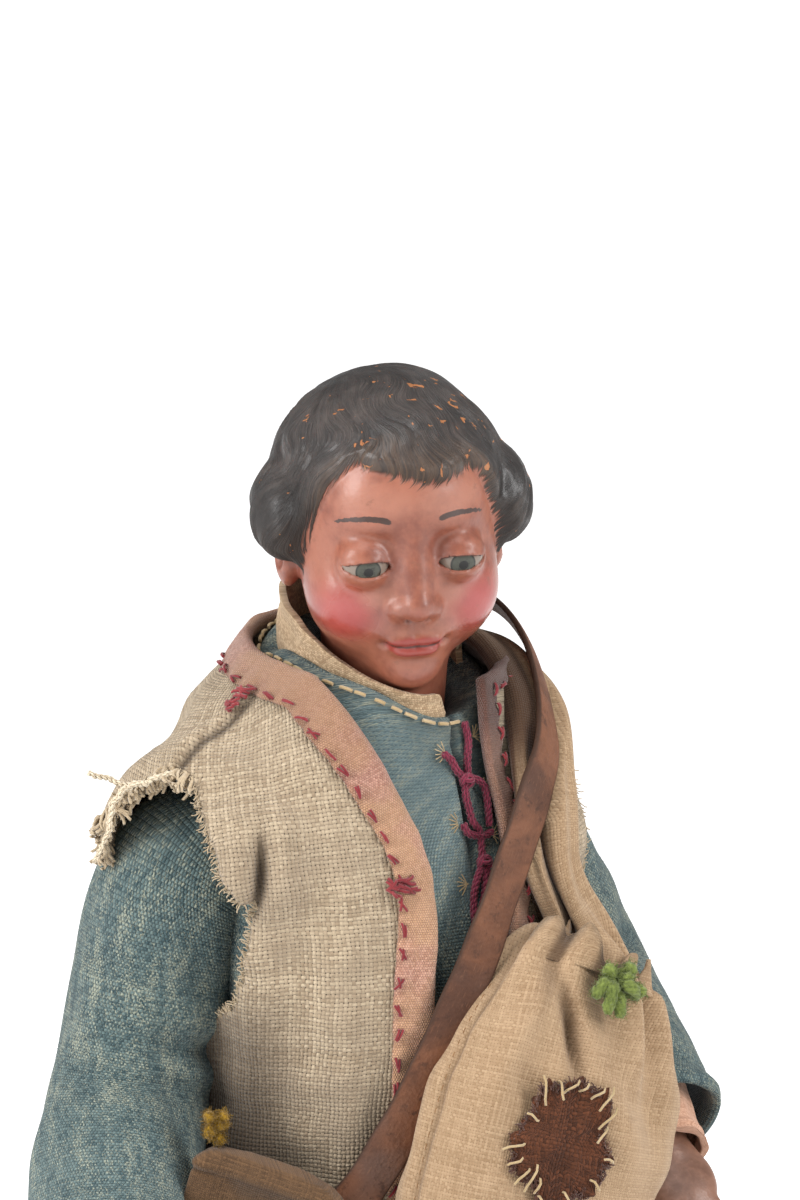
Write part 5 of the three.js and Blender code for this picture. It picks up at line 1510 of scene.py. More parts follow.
# Tuck at the front of the right armhole: height, distance from its middle, half width, half height
TUCK_AT = np.array([-39.3, -25, 266])
TUCK = ((-3.4, 0, 1.25, 9), (1.7, -4.5, 3, 10), (1.5, 5, 4, 11))
# How the right armhole's rim strays: cut back or spared, place, reach
RIM_STRAYS = ((-4.2, (-42, -21, 260.5), 7), (-2.5, (-46, -22, 246), 9), (1.3, (-46, -17, 275.5), 6))
SHOULDER_SEAM_Y = -5.9


def waistcoat_grid():
    at, along = mesh_grid(*WAISTCOAT_GRID)
    angle = edge_angle(at, "right") * (1 - along) + edge_angle(at, "left") * along
    place = on_body(WAISTCOAT, at, angle)
    out = grid_outward(place, False)
    x, y, z = np.moveaxis(place, -1, 0)
    free = smooth(along, 0.035, 0.085) * smooth(along, 0.965, 0.915)
    calm = smooth(at, 0.95, 0.88)
    folds = 1.1 * ripples(place * np.array([1, 1, 0.35]), 15, 61) + 0.45 * ripples(place, 8, 62)
    folds = folds * free * calm
    across, up = x - TUCK_AT[0] - 0.14 * (z - TUCK_AT[2]), z - TUCK_AT[2]

    def dent(middle, wide, high):
        square = ((across - middle) / wide) ** 2 + ((y - TUCK_AT[1]) / 9) ** 2 + (up / high) ** 2
        return bump(np.sqrt(square), 1.0)

    for rise, middle, wide, high in TUCK:
        folds = folds + rise * dent(middle, wide, high)
    seam = smooth(at, 0.74, 0.78) * smooth(at, 0.955, 0.92) * (x < 0)
    folds = folds + 1.3 * smooth(y, SHOULDER_SEAM_Y, -4.9) * seam + 0.4 * bump(y + 3.9, 0.8) * seam
    folds = folds + 0.9 * smooth(z, 190, 184) * bump(np.sin(angle * 9), 0.8)
    pattern = pattern_of(place)
    pattern[..., 0] += np.abs(RIGHT_EDGE(at)[..., 0])
    place = place + out * folds[..., None]
    # The linen darkens towards the hem, as dirt and painted shade, and takes a painted shadow low on its
    # right side between the arm and the body; the shade field also paints shade along the shoulder seam's
    # step and in the tuck
    dirt_and_painted_shade = 0.32 * smooth(z, 236, 206) + 0.6 * smooth(x, -29, -37) * smooth(z, 248, 232) * (y < 0)
    shade = np.clip(0.9 * bump(y + 6.2, 0.75) * seam + 0.95 * dent(0.1, 1.2, 8) + dirt_and_painted_shade, 0, 1)
    holes = (ball(place, ARMHOLE_AT * np.array([side, 1, 1]), ARMHOLE_HALF) for side in (-1, 1))
    hole = np.minimum(*holes)
    for deep, spot, reach in RIM_STRAYS:
        hole = hole + deep * bump(np.linalg.norm(place - np.array(spot), axis=-1), reach)
    hole = hole + 0.5 * ripples(place, 5, 63) + 0.25 * ripples(place, 1.8, 64)
    return place, out, pattern, shade, hole


def snapped(place, value, keep):
    """Moves the points along a trimmed edge onto the line where a value is zero"""
    used = np.zeros(place.shape[:2], int)
    whole = np.zeros(place.shape[:2], int)
    for dr in (0, 1):
        for dc in (0, 1):
            part = (slice(dr, dr + keep.shape[0]), slice(dc, dc + keep.shape[1]))
            used[part] += keep
            whole[part] += 1
    rim = (used > 0) & (used < whole)
    rise_r, rise_c = np.gradient(value)
    step_r, step_c = np.gradient(place, axis=0), np.gradient(place, axis=1)
    size = rise_r**2 + rise_c**2 + 1e-9
    move = -(value / size)[..., None] * (rise_r[..., None] * step_r + rise_c[..., None] * step_c)
    reach = np.linalg.norm(move, axis=-1, keepdims=True)
    move = move * np.minimum(1, 1.3 / np.maximum(reach, 1e-6))
    away = unit(rise_r[..., None] * step_r + rise_c[..., None] * step_c)
    return np.where(rim[..., None], place + move, place), rim, away


def make_fray(name, cloth, spots, times, sizes, radius, curl, seed):
    """Torn ends of thread along a cut edge; the cloth is its places, outward looks and ways into the cloth"""
    rng = np.random.default_rng(seed)
    place, out, away = (values[spots].repeat(times, 0) for values in cloth)
    lean = unit(rng.normal(size=place.shape))
    way = unit(-away + lean * 0.65 + out * 0.15)
    size = rng.uniform(*sizes, len(place))
    points = place - out * rng.uniform(0.0, 1.0, (len(place), 1)) + way * size[:, None] * 0.35
    threads(
        name, "coarse_linen", points, way, unit(np.cross(way, lean)), size, LINEN_THREAD,
        radius=radius, arch=curl * 1.4, curl=curl, sides=4, seed=seed,
    )


STRAY_THREADS = {
    "loose_thread": (
        (-45, -5, 284), (-51, -6.5, 284), (-56, -5.4, 283.4), (-60.5, -4, 284.2), (-64.5, -2.8, 286),
    ),
    "hanging_thread": (
        (-53, -5.5, 283.5), (-58.5, -6, 282.6), (-61.2, -6.6, 280), (-62.4, -7.2, 275.5), (-66, -7.8, 269.5),
    ),
}


def make_waistcoat():
    place, out, pattern, shade, hole = waistcoat_grid()
    centre = (hole[:-1, :-1] + hole[1:, 1:] + hole[:-1, 1:] + hole[1:, :-1]) / 4
    keep = centre > 0
    place, rim, away = snapped(place, hole, keep)
    shape = Shape().grid(place, pattern, keep=keep, flip=True, shade=shade)
    piece = shape.make("waistcoat_linen", COARSE_LINEN, thickness=1.1)
    finished(piece, "coarse_linen", "waistcoat")
    kept = np.linalg.norm(np.cross(np.diff(place, axis=0)[:, :-1], np.diff(place, axis=1)[:-1]), axis=-1)
    float((kept * keep).sum()) * 1e-6
    rim = rim & (np.abs(hole) < 2.5)
    torn = rim & (place[..., 0] < 0) & (place[..., 1] > -10) & (place[..., 2] > 262)
    make_fray("armhole_fray", (place, out, away), rim, 3, (0.8, 2.6), 0.13, 0.25, 5)
    make_fray("yoke_fray", (place, out, away), torn, 5, (2.4, 5.2), 0.38, 0.8, 6)
    hem = np.zeros(place.shape[:2], bool)
    hem[0] = np.random.default_rng(71).random(place.shape[1]) < 0.8
    make_fray("hem_fray", (place, out, np.zeros_like(place) + [0, 0, 1.0]), hem, 1, (1.0, 2.6), 0.14, 0.2, 7)
    t = np.linspace(0, 1, 40)
    for name, stops in STRAY_THREADS.items():
        line = spline(stops, t)
        line = line + 0.35 * np.stack([ripples(line, 4, seed) for seed in (72, 73, 74)], -1)
        shape = Shape()
        twisted(shape, line, 2, 2.4, 0.36, 0.42 - 0.12 * t, 2.2, [0.1, 1, 0.3])
        finished(shape.make(name, LINEN_THREAD, outward=True), "coarse_linen")


def slid(at, angle, along, distance, grow):
    """Places on the waistcoat at a distance across from its edge, away from the opening"""
    step, turns = 0.004, 3
    inside = np.maximum(distance, 0)

    def partial(at, angle):
        low = np.minimum(at, 1 - step)
        here = on_body(WAISTCOAT, low, angle)
        up = (on_body(WAISTCOAT, low + step, angle) - here) / step
        return up, (on_body(WAISTCOAT, low, angle + step) - here) / step

    for _ in range(turns):
        up, around = partial(at, angle)
        away = unit(np.cross(np.cross(around, up), along))
        a, b, c = (up * up).sum(-1), (up * around).sum(-1), (around * around).sum(-1)
        u, v = (away * up).sum(-1), (away * around).sum(-1)
        move = inside / turns / np.maximum(a * c - b * b, 1e-9)
        at = np.minimum(at + move * (u * c - v * b), 1)
        angle = angle + move * (v * a - u * b)
    up, around = partial(at, angle)
    beyond = np.asarray(distance - inside)[..., None] * away
    return on_body(WAISTCOAT, at, angle) + beyond + unit(np.cross(around, up)) * np.asarray(grow)[..., None]


def edge_place(t):
    """Place along the waistcoat's edge: up its right front, round the neck and down its left front"""
    share = 0.38
    at = np.clip(np.minimum(t, 1 - t) / share, 0, 1)
    right, left = edge_angle(at, "right"), edge_angle(at, "left")
    top_right, top_left = (edge_angle(np.ones_like(t), side) for side in ("right", "left"))
    middle = top_right + (top_left - top_right) * (t - share) / (1 - 2 * share)
    return at, np.where(t < share, right, np.where(t > 1 - share, left, middle))


def on_ribbon(t, distance, grow):
    at, angle = edge_place(t)
    distance = np.asarray(distance) * (1 - 0.52 * smooth(t, 0.52, 0.6))
    before, after = edge_place(np.maximum(t - 0.02, 0)), edge_place(np.minimum(t + 0.02, 1))
    along = unit(on_body(WAISTCOAT, *after) - on_body(WAISTCOAT, *before))
    return slid(at, angle, along, distance, grow), along


# Section of the ribbon folded over the edge: distance from the edge and height over the cloth
RIBBON_FOLD = (
    (2.4, -1.75), (0.4, -1.7), (-0.45, -1.3), (-0.7, -0.4), (-0.35, 0.5),
    (0.6, 0.95), (3.4, 1.0), (6.9, 0.95), (7.7, 0.6),
)
STITCH_PITCH = 5.2
KNOT_T, KNOT_STITCHES = 0.2706, 16
# Darning on the right shoulder's seam: levels of its two rows, stitches in each
DARNING = ((0.946, 9), (0.93, 8))


def make_ribbon():
    t, across = mesh_grid(420, 23)
    section = spline(RIBBON_FOLD, across)
    run_across = lengths(spline(RIBBON_FOLD, across[0]))
    distance = section[..., 0] + 0.3 * np.sin(t * 40) * smooth(across, 0.6, 1.0)
    place, along = on_ribbon(t, distance, section[..., 1])
    run = lengths(place[:, 12])[:, None] * np.ones_like(across)
    out = grid_outward(place, False)
    stitched = np.cos(run * 2 * PI / STITCH_PITCH)
    pucker = 0.22 * ripples(place, 7, 81) + 0.3 * stitched * smooth(across, 0.7, 0.95)
    place = place + out * (pucker * smooth(across, 0.35, 0.5))[..., None]
    pattern = np.stack([np.broadcast_to(run_across, across.shape), run], -1)
    z = place[..., 2]
    shade = 0.34 * smooth(z, 268, 298) + smooth(t, 0.52, 0.6) * (0.35 + 0.5 * smooth(z, 285, 299))
    shade = shade + 0.4 * smooth(across, 0.42, 0.3) + 0.35 * smooth(across, 0.95, 1.0)
    shade = np.clip(shade + 0.2 * smooth(stitched, 0, -1) * smooth(across, 0.75, 0.9), 0, 1)
    shape = Shape().grid(place, pattern, flip=True, shade=shade)
    finished(shape.make("ribbon_tape", PINK_RIBBON, thickness=0.5), "pink_ribbon", "ribbon_binding")
    rng = np.random.default_rng(83)
    total = run[-1, 0]
    spots = np.arange(4, total - 4, STITCH_PITCH)
    spots = (spots + rng.uniform(-0.7, 0.7, len(spots))).repeat(2)
    t_of = np.interp(spots, run[:, 0], t[:, 0])
    points, along = on_ribbon(t_of, 6.8 + rng.uniform(-0.4, 0.4, len(spots)), 1.15)
    nearby, _ = on_ribbon(t_of, 7.4, 1.15)
    up = unit(np.cross(along, nearby - points))
    slant = unit(along + 0.45 * rng.normal(size=(len(spots), 1)) * unit(nearby - points))
    points = points + along * rng.uniform(-0.4, 0.4, (len(spots), 1))
    threads(
        "ribbon_stitches", "pink_ribbon", points, slant, up, 2.5, RED_THREAD,
        radius=0.3, arch=0.6, seed=7,
    )
    knot_t = KNOT_T + rng.uniform(-0.0055, 0.0055, KNOT_STITCHES)
    knot, _ = on_ribbon(knot_t, 6.4 + rng.uniform(-2.4, 2.4, KNOT_STITCHES), 1.45)
    level = np.concatenate([np.full(count, row) for row, count in DARNING])
    level = level + rng.uniform(-0.006, 0.006, len(level))
    turn = PI + 0.14 + rng.uniform(-0.045, 0.045, len(level))
    seam = on_body(WAISTCOAT, level, turn, 1.6)
    points = np.concatenate([knot, seam])
    lifted = np.array([0, 0, 14.0]) * (points[:, 2:] > 280)
    out = unit((points - np.array([0, -2, 0])) * np.array([1, 1, 0]) + lifted)
    way = unit(np.cross(out, [0.15, 0.1, 1.0]) + rng.normal(size=points.shape) * 0.45)
    threads(
        "red_darning", "coarse_linen", points, way, out, 3.0, RED_THREAD,
        radius=0.34, arch=0.75, curl=0.4, seed=8,
    )


# Eyelets beside the slit: distance from the middle, height, turn of their fan of stitches
EYELETS = (
    (1.6, 287.0, 2.9), (2.6, 273.6, 2.9), (9.8, 279.5, 0.3),
    (9.9, 270.6, 0.1), (2.4, 262.2, 3.0), (8.8, 289.5, 0.4),
)
EYELET_RAYS = 6


def make_neck_stitches():
    rng = np.random.default_rng(91)
    angle = -np.arange(1.36, 5.9, 0.145)
    angle = angle + rng.uniform(-0.02, 0.02, len(angle))

    def on_neck(at, angle):
        place = on_body(TUNIC, np.full(len(angle), at), angle, 0.75)
        place[:, 2] += neck_rise(at, angle)
        return place

    place, ahead, above = on_neck(0.988, angle), on_neck(0.988, angle - 0.02), on_neck(0.999, angle)
    along = unit(ahead - place)
    up = unit(np.cross(along, above - place))
    up = turned_out(up, place, np.array([0, 0, 295]))
    threads(
        "neck_stitches", "cream_twill", place, along, up, 2.5, CREAM_THREAD,
        radius=0.4, arch=0.45, spread=0.25, seed=9,
    )
    points, ways = [], []
    for x, z, turn in EYELETS:
        for k in range(EYELET_RAYS):
            lean = turn + (k - (EYELET_RAYS - 1) / 2) * 0.42 + rng.uniform(-0.1, 0.1)
            reach = rng.uniform(0.9, 1.3)
            end = on_tunic_front(x + reach * math.cos(lean), z + reach * math.sin(lean), 0.75)
            points.append(end)
            ways.append(unit(end - on_tunic_front(x, z, 0.75)))
    threads(
        "eyelet_stitches", "cream_twill", points, ways, np.array([0, -1, 0.15]), 2.4, CREAM_THREAD,
        radius=0.11, arch=0.2, seed=10,
    )


# Collar
def make_collar():
    up, around = mesh_grid(18, 240)
    start, end = -math.acos(3.2 / 18.4), -2 * PI - 0.16
    angle = start + (end - start) * around
    back = 0.5 + 0.5 * np.sin(angle)
    high = 6.2 + 5 * np.sin(back * PI * 0.85) ** 0.8 + 2 * bump(back - 1, 0.35)
    near_end = 1 - np.clip(np.minimum(around, 1 - around) / 0.022, 0, 1)
    high = high * (0.55 + 0.45 * np.sqrt(1 - near_end**2))
    rise = up * high
    lean = np.minimum(rise, 10.5) * 0.12
    across = (22.4 - 0.7 - lean) * np.sin(angle)
    place = np.stack([(19 - 0.7 - lean) * np.cos(angle), -1 + across, 301.4 + 0.38 * across + rise - 1.4], -1)
    out = grid_outward(place, False)
    wave = 0.28 * ripples(place, 9, 101) + 0.35 * bump(up - 1, 0.12) - 0.2 * bump(up - 0.72, 0.08)
    place = place + out * wave[..., None]
    shape = Shape().grid(place, pattern_of(place), flip=True)
    piece = shape.make("collar_band", CREAM_TWILL, thickness=1.4, offset=0.0)
    rounded(piece, 0.4)
    finished(piece, "cream_twill", "shirt_collar")


# Strap
STRAP_WIDTH = 8.6


def make_strap():
    t, across = mesh_grid(520, 13)
    steps = (0, 0.002, -0.002)
    here, ahead, behind = (spline(STRAP_LINE[:, :3], np.mod(t + step, 1), True) for step in steps)
    along = unit(ahead - behind)
    out = upright(spline(STRAP_LINE[:, 3:], t, True), along)
    side = np.cross(along, out)
    run = lengths(here[:, 0])[:, None] * np.ones_like(across)
    width = STRAP_WIDTH + 0.25 * np.sin(run * 0.16) + 0.2 * np.sin(run * 0.43 + 1)
    curl = -0.35 * (2 * across - 1) ** 2
    wave = 0.25 * np.sin(run * 2 * PI / run.max() * 9) * (across - 0.5)
    place = here + side * ((across - 0.5) * width)[..., None] + out * (1.25 + curl + wave)[..., None]
    edge = bump(np.minimum(across, 1 - across), 0.045)
    pattern = np.stack([across * STRAP_WIDTH, run], -1)
    piece = Shape().grid(place[:-1], pattern[:-1], edge=edge[:-1])
    piece.grid(np.stack([place[-2], place[0]]), np.stack([pattern[-2], pattern[-1]]), edge=edge[-2:])
    strap = piece.make("strap_leather", LEATHER, thickness=1.15)
    rounded(strap, 0.35)
    finished(strap, "worn_leather", "strap")


# Sack, its patch and its tie
def under_strap(place):
    """Presses places down where they would come up through the strap"""
    t = np.linspace(0.06, 0.5, 260)
    line = spline(STRAP_LINE[:, :3], t, True)
    along = unit(np.gradient(line, axis=0))
    out = upright(spline(STRAP_LINE[:, 3:], t, True), along)
    side = np.cross(along, out)
    flat = place.reshape(-1, 3)
    parts = np.array_split(flat, 40)
    nearest = np.concatenate([((part[:, None] - line) ** 2).sum(-1).argmin(1) for part in parts])
    away = flat - line[nearest]
    across, height = (away * side[nearest]).sum(-1), (away * out[nearest]).sum(-1)
    allowed = -0.15 + 2.2 * np.maximum(np.abs(across) - 4.7, 0)
    near = (np.linalg.norm(away, axis=-1) < 12) & (height > allowed)
    pressed = flat - out[nearest] * ((height - allowed) * near)[:, None]
    return pressed.reshape(place.shape)


def drawn_in(place, at, angle):
    """The band above the gather lies nearer the middle of the figure"""
    place[..., 0] -= 4.6 * bump(at - 0.604, 0.045) * smooth(np.cos(angle), -1.2, 0.2)
    return place


# Columns round the sack, and the one that its weave is measured from
SACK_COLUMNS, SACK_START = 195, 55
# Creases of the sack's front: depth, place, half width, half height, slant
SACK_CREASES = (
    (-3.4, (12.9, -58, 236), 1.5, 9, 0.0), (1.9, (8.8, -58, 237), 3.2, 11, 0.0),
    (1.2, (17, -58, 235), 3, 10, 0.0), (-1.5, (25, -56, 225.5), 2.8, 13, 0.0),
    (-1.2, (1.3, -59, 231), 2.6, 9, 0.42), (0.9, (-5, -58, 231), 3.5, 12, 0.42),
)


def sack_grid():
    at, angle = round_grid(270, SACK_COLUMNS)
    place = on_sack(at, angle)
    arc = run_along(place, 1)
    run = lengths(SACK(at[:, 0])[:, :3])[:, None] * np.ones_like(at)
    pattern = np.stack([arc - arc[:, SACK_START:SACK_START + 1], run], -1)
    out = turned_out(grid_normals(place, True), place, SACK(at)[..., :3])
    neck = bump(at - 0.665, 0.04)
    band = smooth(at, 0.64, 0.58)
    full = smooth(at, 0.68, 0.76)
    front = smooth(np.sin(angle), 0.0, 0.5)
    upper = smooth(at, 0.3, 0.42) * band
    folds = band * 0.2 * np.sin(angle * 7 + 1.2 + 3 * at) * smooth(at, 0.1, 0.3)
    low_band = smooth(at, 0.46, 0.53) * smooth(at, 0.655, 0.62)
    groove = bump(np.cos(angle) + 0.56, 0.2) * front * low_band
    folds = folds - 2.8 * groove + 1.0 * bump(np.cos(angle) + 0.02, 0.16) * front * upper
    folds = folds + 0.9 * bump(np.cos(angle) + 0.88, 0.08) * front * low_band
    folds = folds - 0.25 * bump(np.cos(angle) - 0.45, 0.12) * front * upper
    folds = folds + neck * 1.5 * np.sin(angle * 9 + at * 14)
    below = bump(at - 0.72, 0.07)
    folds = folds + below * (1.5 * np.sin(angle * 6 + 0.6) + 0.8 * np.sin(angle * 11 + 2))
    folds = folds + 0.7 * full * ripples(place, 14, 111) * smooth(at, 1.0, 0.95)
    x, y, z = np.moveaxis(place, -1, 0)

    def dent(spot, wide, high, slant=0.0):
        side = (x - spot[0] + slant * (z - spot[2])) / wide
        return bump(np.sqrt(side**2 + ((y - spot[1]) / 25) ** 2 + ((z - spot[2]) / high) ** 2), 1.0)

    for rise, *crease in SACK_CREASES:
        folds = folds + rise * dent(*crease)
    edge = (angle - (PI - 0.02)) * SACK(at)[..., 3] * 0.5
    hem = smooth(at, 0.68, 0.72)
    folds = folds + (0.9 * bump(edge, 1.5) - 0.7 * bump(edge + 2.6, 0.8)) * hem
    inner = 0.95 * smooth(np.cos(angle), -0.15, -0.4) * upper * smooth(at, 0.54, 0.47) + 0.95 * groove
    deepest = SACK_CREASES[0][1]
    shade = inner + 0.9 * smooth(np.sin(angle), 0.1, -0.3) * band + 0.75 * dent(deepest, 1.2, 8)
    shade = shade + 0.35 * bump(edge + 2.6, 0.7) * hem
    shade = np.clip(shade + 0.35 * neck * smooth(np.sin(angle * 9 + at * 14), 0.2, -0.8), 0, 1)
    place = place + out * folds[..., None]
    place = drawn_in(place, at, angle)
    band_rows = slice(int(0.28 * len(at)), int(0.64 * len(at)))
    place[band_rows] = under_strap(place[band_rows])
    return place, pattern, shade


def make_sack():
    place, pattern, shade = sack_grid()
    piece = Shape().grid(place, pattern, shade=shade).make("sack_cloth", SACK_LINEN, outward=True)
    finished(piece, "sack_linen", "sack")
    spots = np.arange(0.7, 0.99, 0.0085)
    seam = np.full(len(spots), PI - 0.24)
    points = on_sack(spots, seam, 0.35)
    ahead = on_sack(spots + 0.002, seam, 0.35)
    along = unit(ahead - points)
    up = unit(points - SACK(spots)[:, :3])
    threads(
        "seam_stitches", "sack_linen", points, along, up, 1.1, OCHRE_THREAD,
        radius=0.1, arch=0.15, seed=11,
    )
    rise, angle = round_grid(26, 201)
    pleats = np.sin(angle * 10 + 0.9 + 1.2 * np.sin(angle + 1))
    facing = smooth(np.sin(angle), 0.02, 0.55)
    top = 0.032 * facing * (0.68 + 0.32 * pleats + 0.14 * np.sin(angle * 3 + 0.5))
    low_line = 0.672 - top * rise
    ruffle = (0.3 + rise**1.2) * 1.5 * pleats
    spread = facing * (3.1 + rise * 2.2 + ruffle + 0.4 * rise * np.sin(angle * 23)) - 2.8
    frill = drawn_in(on_sack(low_line, angle, spread), low_line, angle)
    keep = facing[:-1, :-1] > 0.14
    shade = 0.75 * smooth(pleats, 0.1, -0.9)
    shape = Shape().grid(frill, pattern_of(frill), keep=keep, flip=True, shade=shade)
    mouth = shape.make("sack_mouth", SACK_LINEN, thickness=0.8)
    finished(mouth, "sack_linen")


def on_sack_face(at, turn, grow):
    """Place and outward look on the sack"""
    at, turn = np.asarray(at, float), np.asarray(turn, float)
    place = on_sack(at, turn, grow)
    down, around = on_sack(at + 0.004, turn, grow) - place, on_sack(at, turn + 0.01, grow) - place
    return place, turned_out(unit(np.cross(down, around)), place, SACK(at)[..., :3])


# The patch's middle on the sack, and its half height and half width in the sack's own measures
PATCH_AT, PATCH_TURN = 0.795, math.radians(95)
PATCH_HIGH, PATCH_WIDE = 10.5 / 240, 8.2 / 27
FRAY_COUNT = 420
STITCH_ANGLES = np.array([
    0.2, 0.45, 0.75, 0.95, 1.2, 1.45, 1.9, 2.5, 3.0, 3.5, 3.75, 4.05, 4.25, 4.5, 4.75, 5.0, 5.4, 5.9,
])


def on_patch(share, angle, grow):
    ragged = 1 + 0.09 * np.sin(angle * 5) + 0.07 * np.sin(angle * 3 + 1) + 0.05 * np.sin(angle * 8 + 2)
    down = PATCH_HIGH * ragged * share * np.sin(angle)
    around = PATCH_WIDE * ragged * share * np.cos(angle)
    return on_sack_face(PATCH_AT + down, PATCH_TURN + around, grow)


def make_patch():
    share, angle = round_grid(26, 121)
    torn = 1 + (0.06 * np.sin(angle * 17) + 0.05 * np.sin(angle * 29 + 1)) * share
    place, out = on_patch(share * torn, angle, 1.5)
    folds = 0.35 * ripples(place, 5, 121) + 0.4 * smooth(share, 0.85, 1.0) * np.sin(angle * 11)
    place = place + out * folds[..., None]
    pattern = np.stack([10 * share * np.cos(angle), 10.5 * share * np.sin(angle)], -1)
    piece = Shape().grid(place, pattern, flip=True).make("patch_cloth", PATCH_WOOL, thickness=1.0)
    finished(piece, "patch_wool", "sack_patch")
    rng = np.random.default_rng(123)

    def along_edge(share, inside, angle, grow, stray):
        points, out = on_patch(share, angle, grow)
        inner, _ = on_patch(np.full(len(angle), inside), angle, grow)
        return points, unit(unit(points - inner) + rng.normal(size=points.shape) * stray), out

    angle = rng.uniform(0, 2 * PI, FRAY_COUNT)
    fray = along_edge(rng.uniform(0.9, 1.04, FRAY_COUNT), 0.7, angle, 1.2, 0.6)
    threads(
        "patch_fray", "patch_wool", *fray, rng.uniform(0.8, 2.4, FRAY_COUNT), PATCH_FIBRE,
        radius=0.12, arch=0.4, curl=0.3, seed=12,
    )
    stitches = along_edge(np.full(len(STITCH_ANGLES), 0.93), 0.6, STITCH_ANGLES, 1.9, 0.35)
    threads(
        "patch_stitches", "cream_twill", *stitches, 4.4, CREAM_THREAD,
        radius=0.26, arch=1.2, curl=0.8, spread=0.7, seed=13,
    )


def tuft(name, material, slot, node, middle, frame_axes, ends, size, radius, seed):
    """Ends of soft yarn that spread from a knot; the ends are in the knot's own frame"""
    rng = np.random.default_rng(seed)
    shape, pieces = Shape(), []
    share = np.linspace(0, 1, 22)
    for end in ends:
        end = np.array(end, float)
        bend = end * 0.55 + rng.normal(size=3) * 0.14 + np.array([0, 0, 0.25])
        line = spline(np.array([[0, 0, 0], bend * 0.6, bend, end]) * size @ frame_axes.T + middle, share)
        thick = radius * (0.85 + 0.3 * np.sin(share * 2.6)) * np.where(share > 0.9, 1 - (share - 0.9) * 4, 1)
        place = tube(line, thick, 12)
        out = unit(place - np.concatenate([line[:1], line, line[-1:]])[:, None])
        place = place + out * (0.16 * ripples(place, 1.6, seed + 3))[..., None]
        shape.grid(place, tube_pattern(place, 5.0))
        pieces.append((place, out))
    finished(shape.make(name, material, merge=0.01, outward=True), slot, node)
    fluff(name + "_fluff", slot, pieces, 1500, 1.2, material, seed, radius=0.05, lift=0.6)


GREEN_ENDS = (
    (-1.15, -0.55, 0.1), (-0.75, -1.25, 0.1), (-0.2, -1.5, 0.15), (0.15, -0.8, 0.4), (0.75, -0.85, 0.2),
    (1.35, -0.75, 0.1), (0.8, 0.45, 0.1), (-0.4, 0.55, 0.2), (0.2, 0.1, 0.6),
)
YELLOW_ENDS = (
    (-0.5, -0.5, 1.1), (0.7, -0.7, 0.9), (0.4, -0.6, -1.1),
    (0.1, -0.9, 0.2), (-0.5, -0.6, -0.6), (0.9, -0.5, 0.1),
)
YELLOW_AT = np.array([-47.4, -20.6, 217.4])


def make_ties():
    place, out = on_sack_face(0.676, math.radians(90), 2.4)
    across = unit(np.cross([0, 0, 1.0], out))
    axes = np.stack([across, np.cross(out, across), out], -1)
    tuft("green_tuft", GREEN_WOOL, "green_wool", "sack_tie", place, axes, GREEN_ENDS, 5.0, 1.2, 131)
    axes = np.eye(3)
    tuft("yellow_tuft", YELLOW_WOOL, "yellow_wool", "pouch_tie", YELLOW_AT, axes, YELLOW_ENDS, 3.0, 0.95, 137)


# Hip pouch: middle, turns, and half its width, depth and height
POUCH_AT = np.array([-42, -27.4, 195])
POUCH_LEAN = Matrix.Rotation(math.radians(-13), 3, "Y")
POUCH_TURN = np.array(Matrix.Rotation(math.radians(130.5), 3, "Z") @ POUCH_LEAN)
POUCH_WIDE, POUCH_DEEP, POUCH_HIGH = 15.8, 4.4, 17
POUCH_SEAM = 11.8


def make_pouch():
    t, angle = round_grid(60, 121)
    run = 2 * t - 1
    full = np.sqrt(1 - run**4) * 0.93 + 0.07

    def square(value):
        return np.sign(value) * np.abs(value) ** 0.36

    local = np.stack(
        [
            POUCH_WIDE * (1 - 0.06 * np.sin(angle)) * full**0.4 * square(np.cos(angle)),
            POUCH_DEEP * full * (run + 0.15 * np.sin(2 * angle)),
            POUCH_HIGH * full**0.4 * square(np.sin(angle)),
        ],
        -1,
    )
    place = local @ POUCH_TURN.T + POUCH_AT
    out = grid_outward(place, True)
    local_z = local[..., 2]
    folds = 0.35 * ripples(place, 11, 141) + 0.5 * bump(local_z - 13.2, 0.9)
    folds = folds - 0.35 * bump(local_z - POUCH_SEAM, 0.6)
    place = place + out * folds[..., None]
    whole = np.concatenate([place[:1] * 0 + place[0].mean(0), place, place[-1:] * 0 + place[-1].mean(0)])
    flat = np.concatenate([local[:1] * 0, local, local[-1:] * 0])
    pattern = np.stack([flat[..., 0] + flat[..., 1] * 0.7, flat[..., 2]], -1)
    shade = np.concatenate([t[:1] * 0, 0.5 * bump(local_z - POUCH_SEAM, 0.5), t[:1] * 0])
    piece = Shape().grid(whole, pattern, shade=shade).make("pouch_cloth", POUCH_LINEN, outward=True)
    finished(piece, "sack_linen", "hip_pouch")


# Cuffs and hands
def arm_frame(side):
    line = SLEEVES[side]
    end, before = line(1.0)[:3], line(0.93)[:3]
    along = unit(end - before)
    hint = np.array([1, -0.3, 0.5]) if side == "right" else np.array([-0.87, 0.5, 0])
    y = unit(np.cross(along, hint))
    return end, np.stack([np.cross(y, along), y, along], -1)


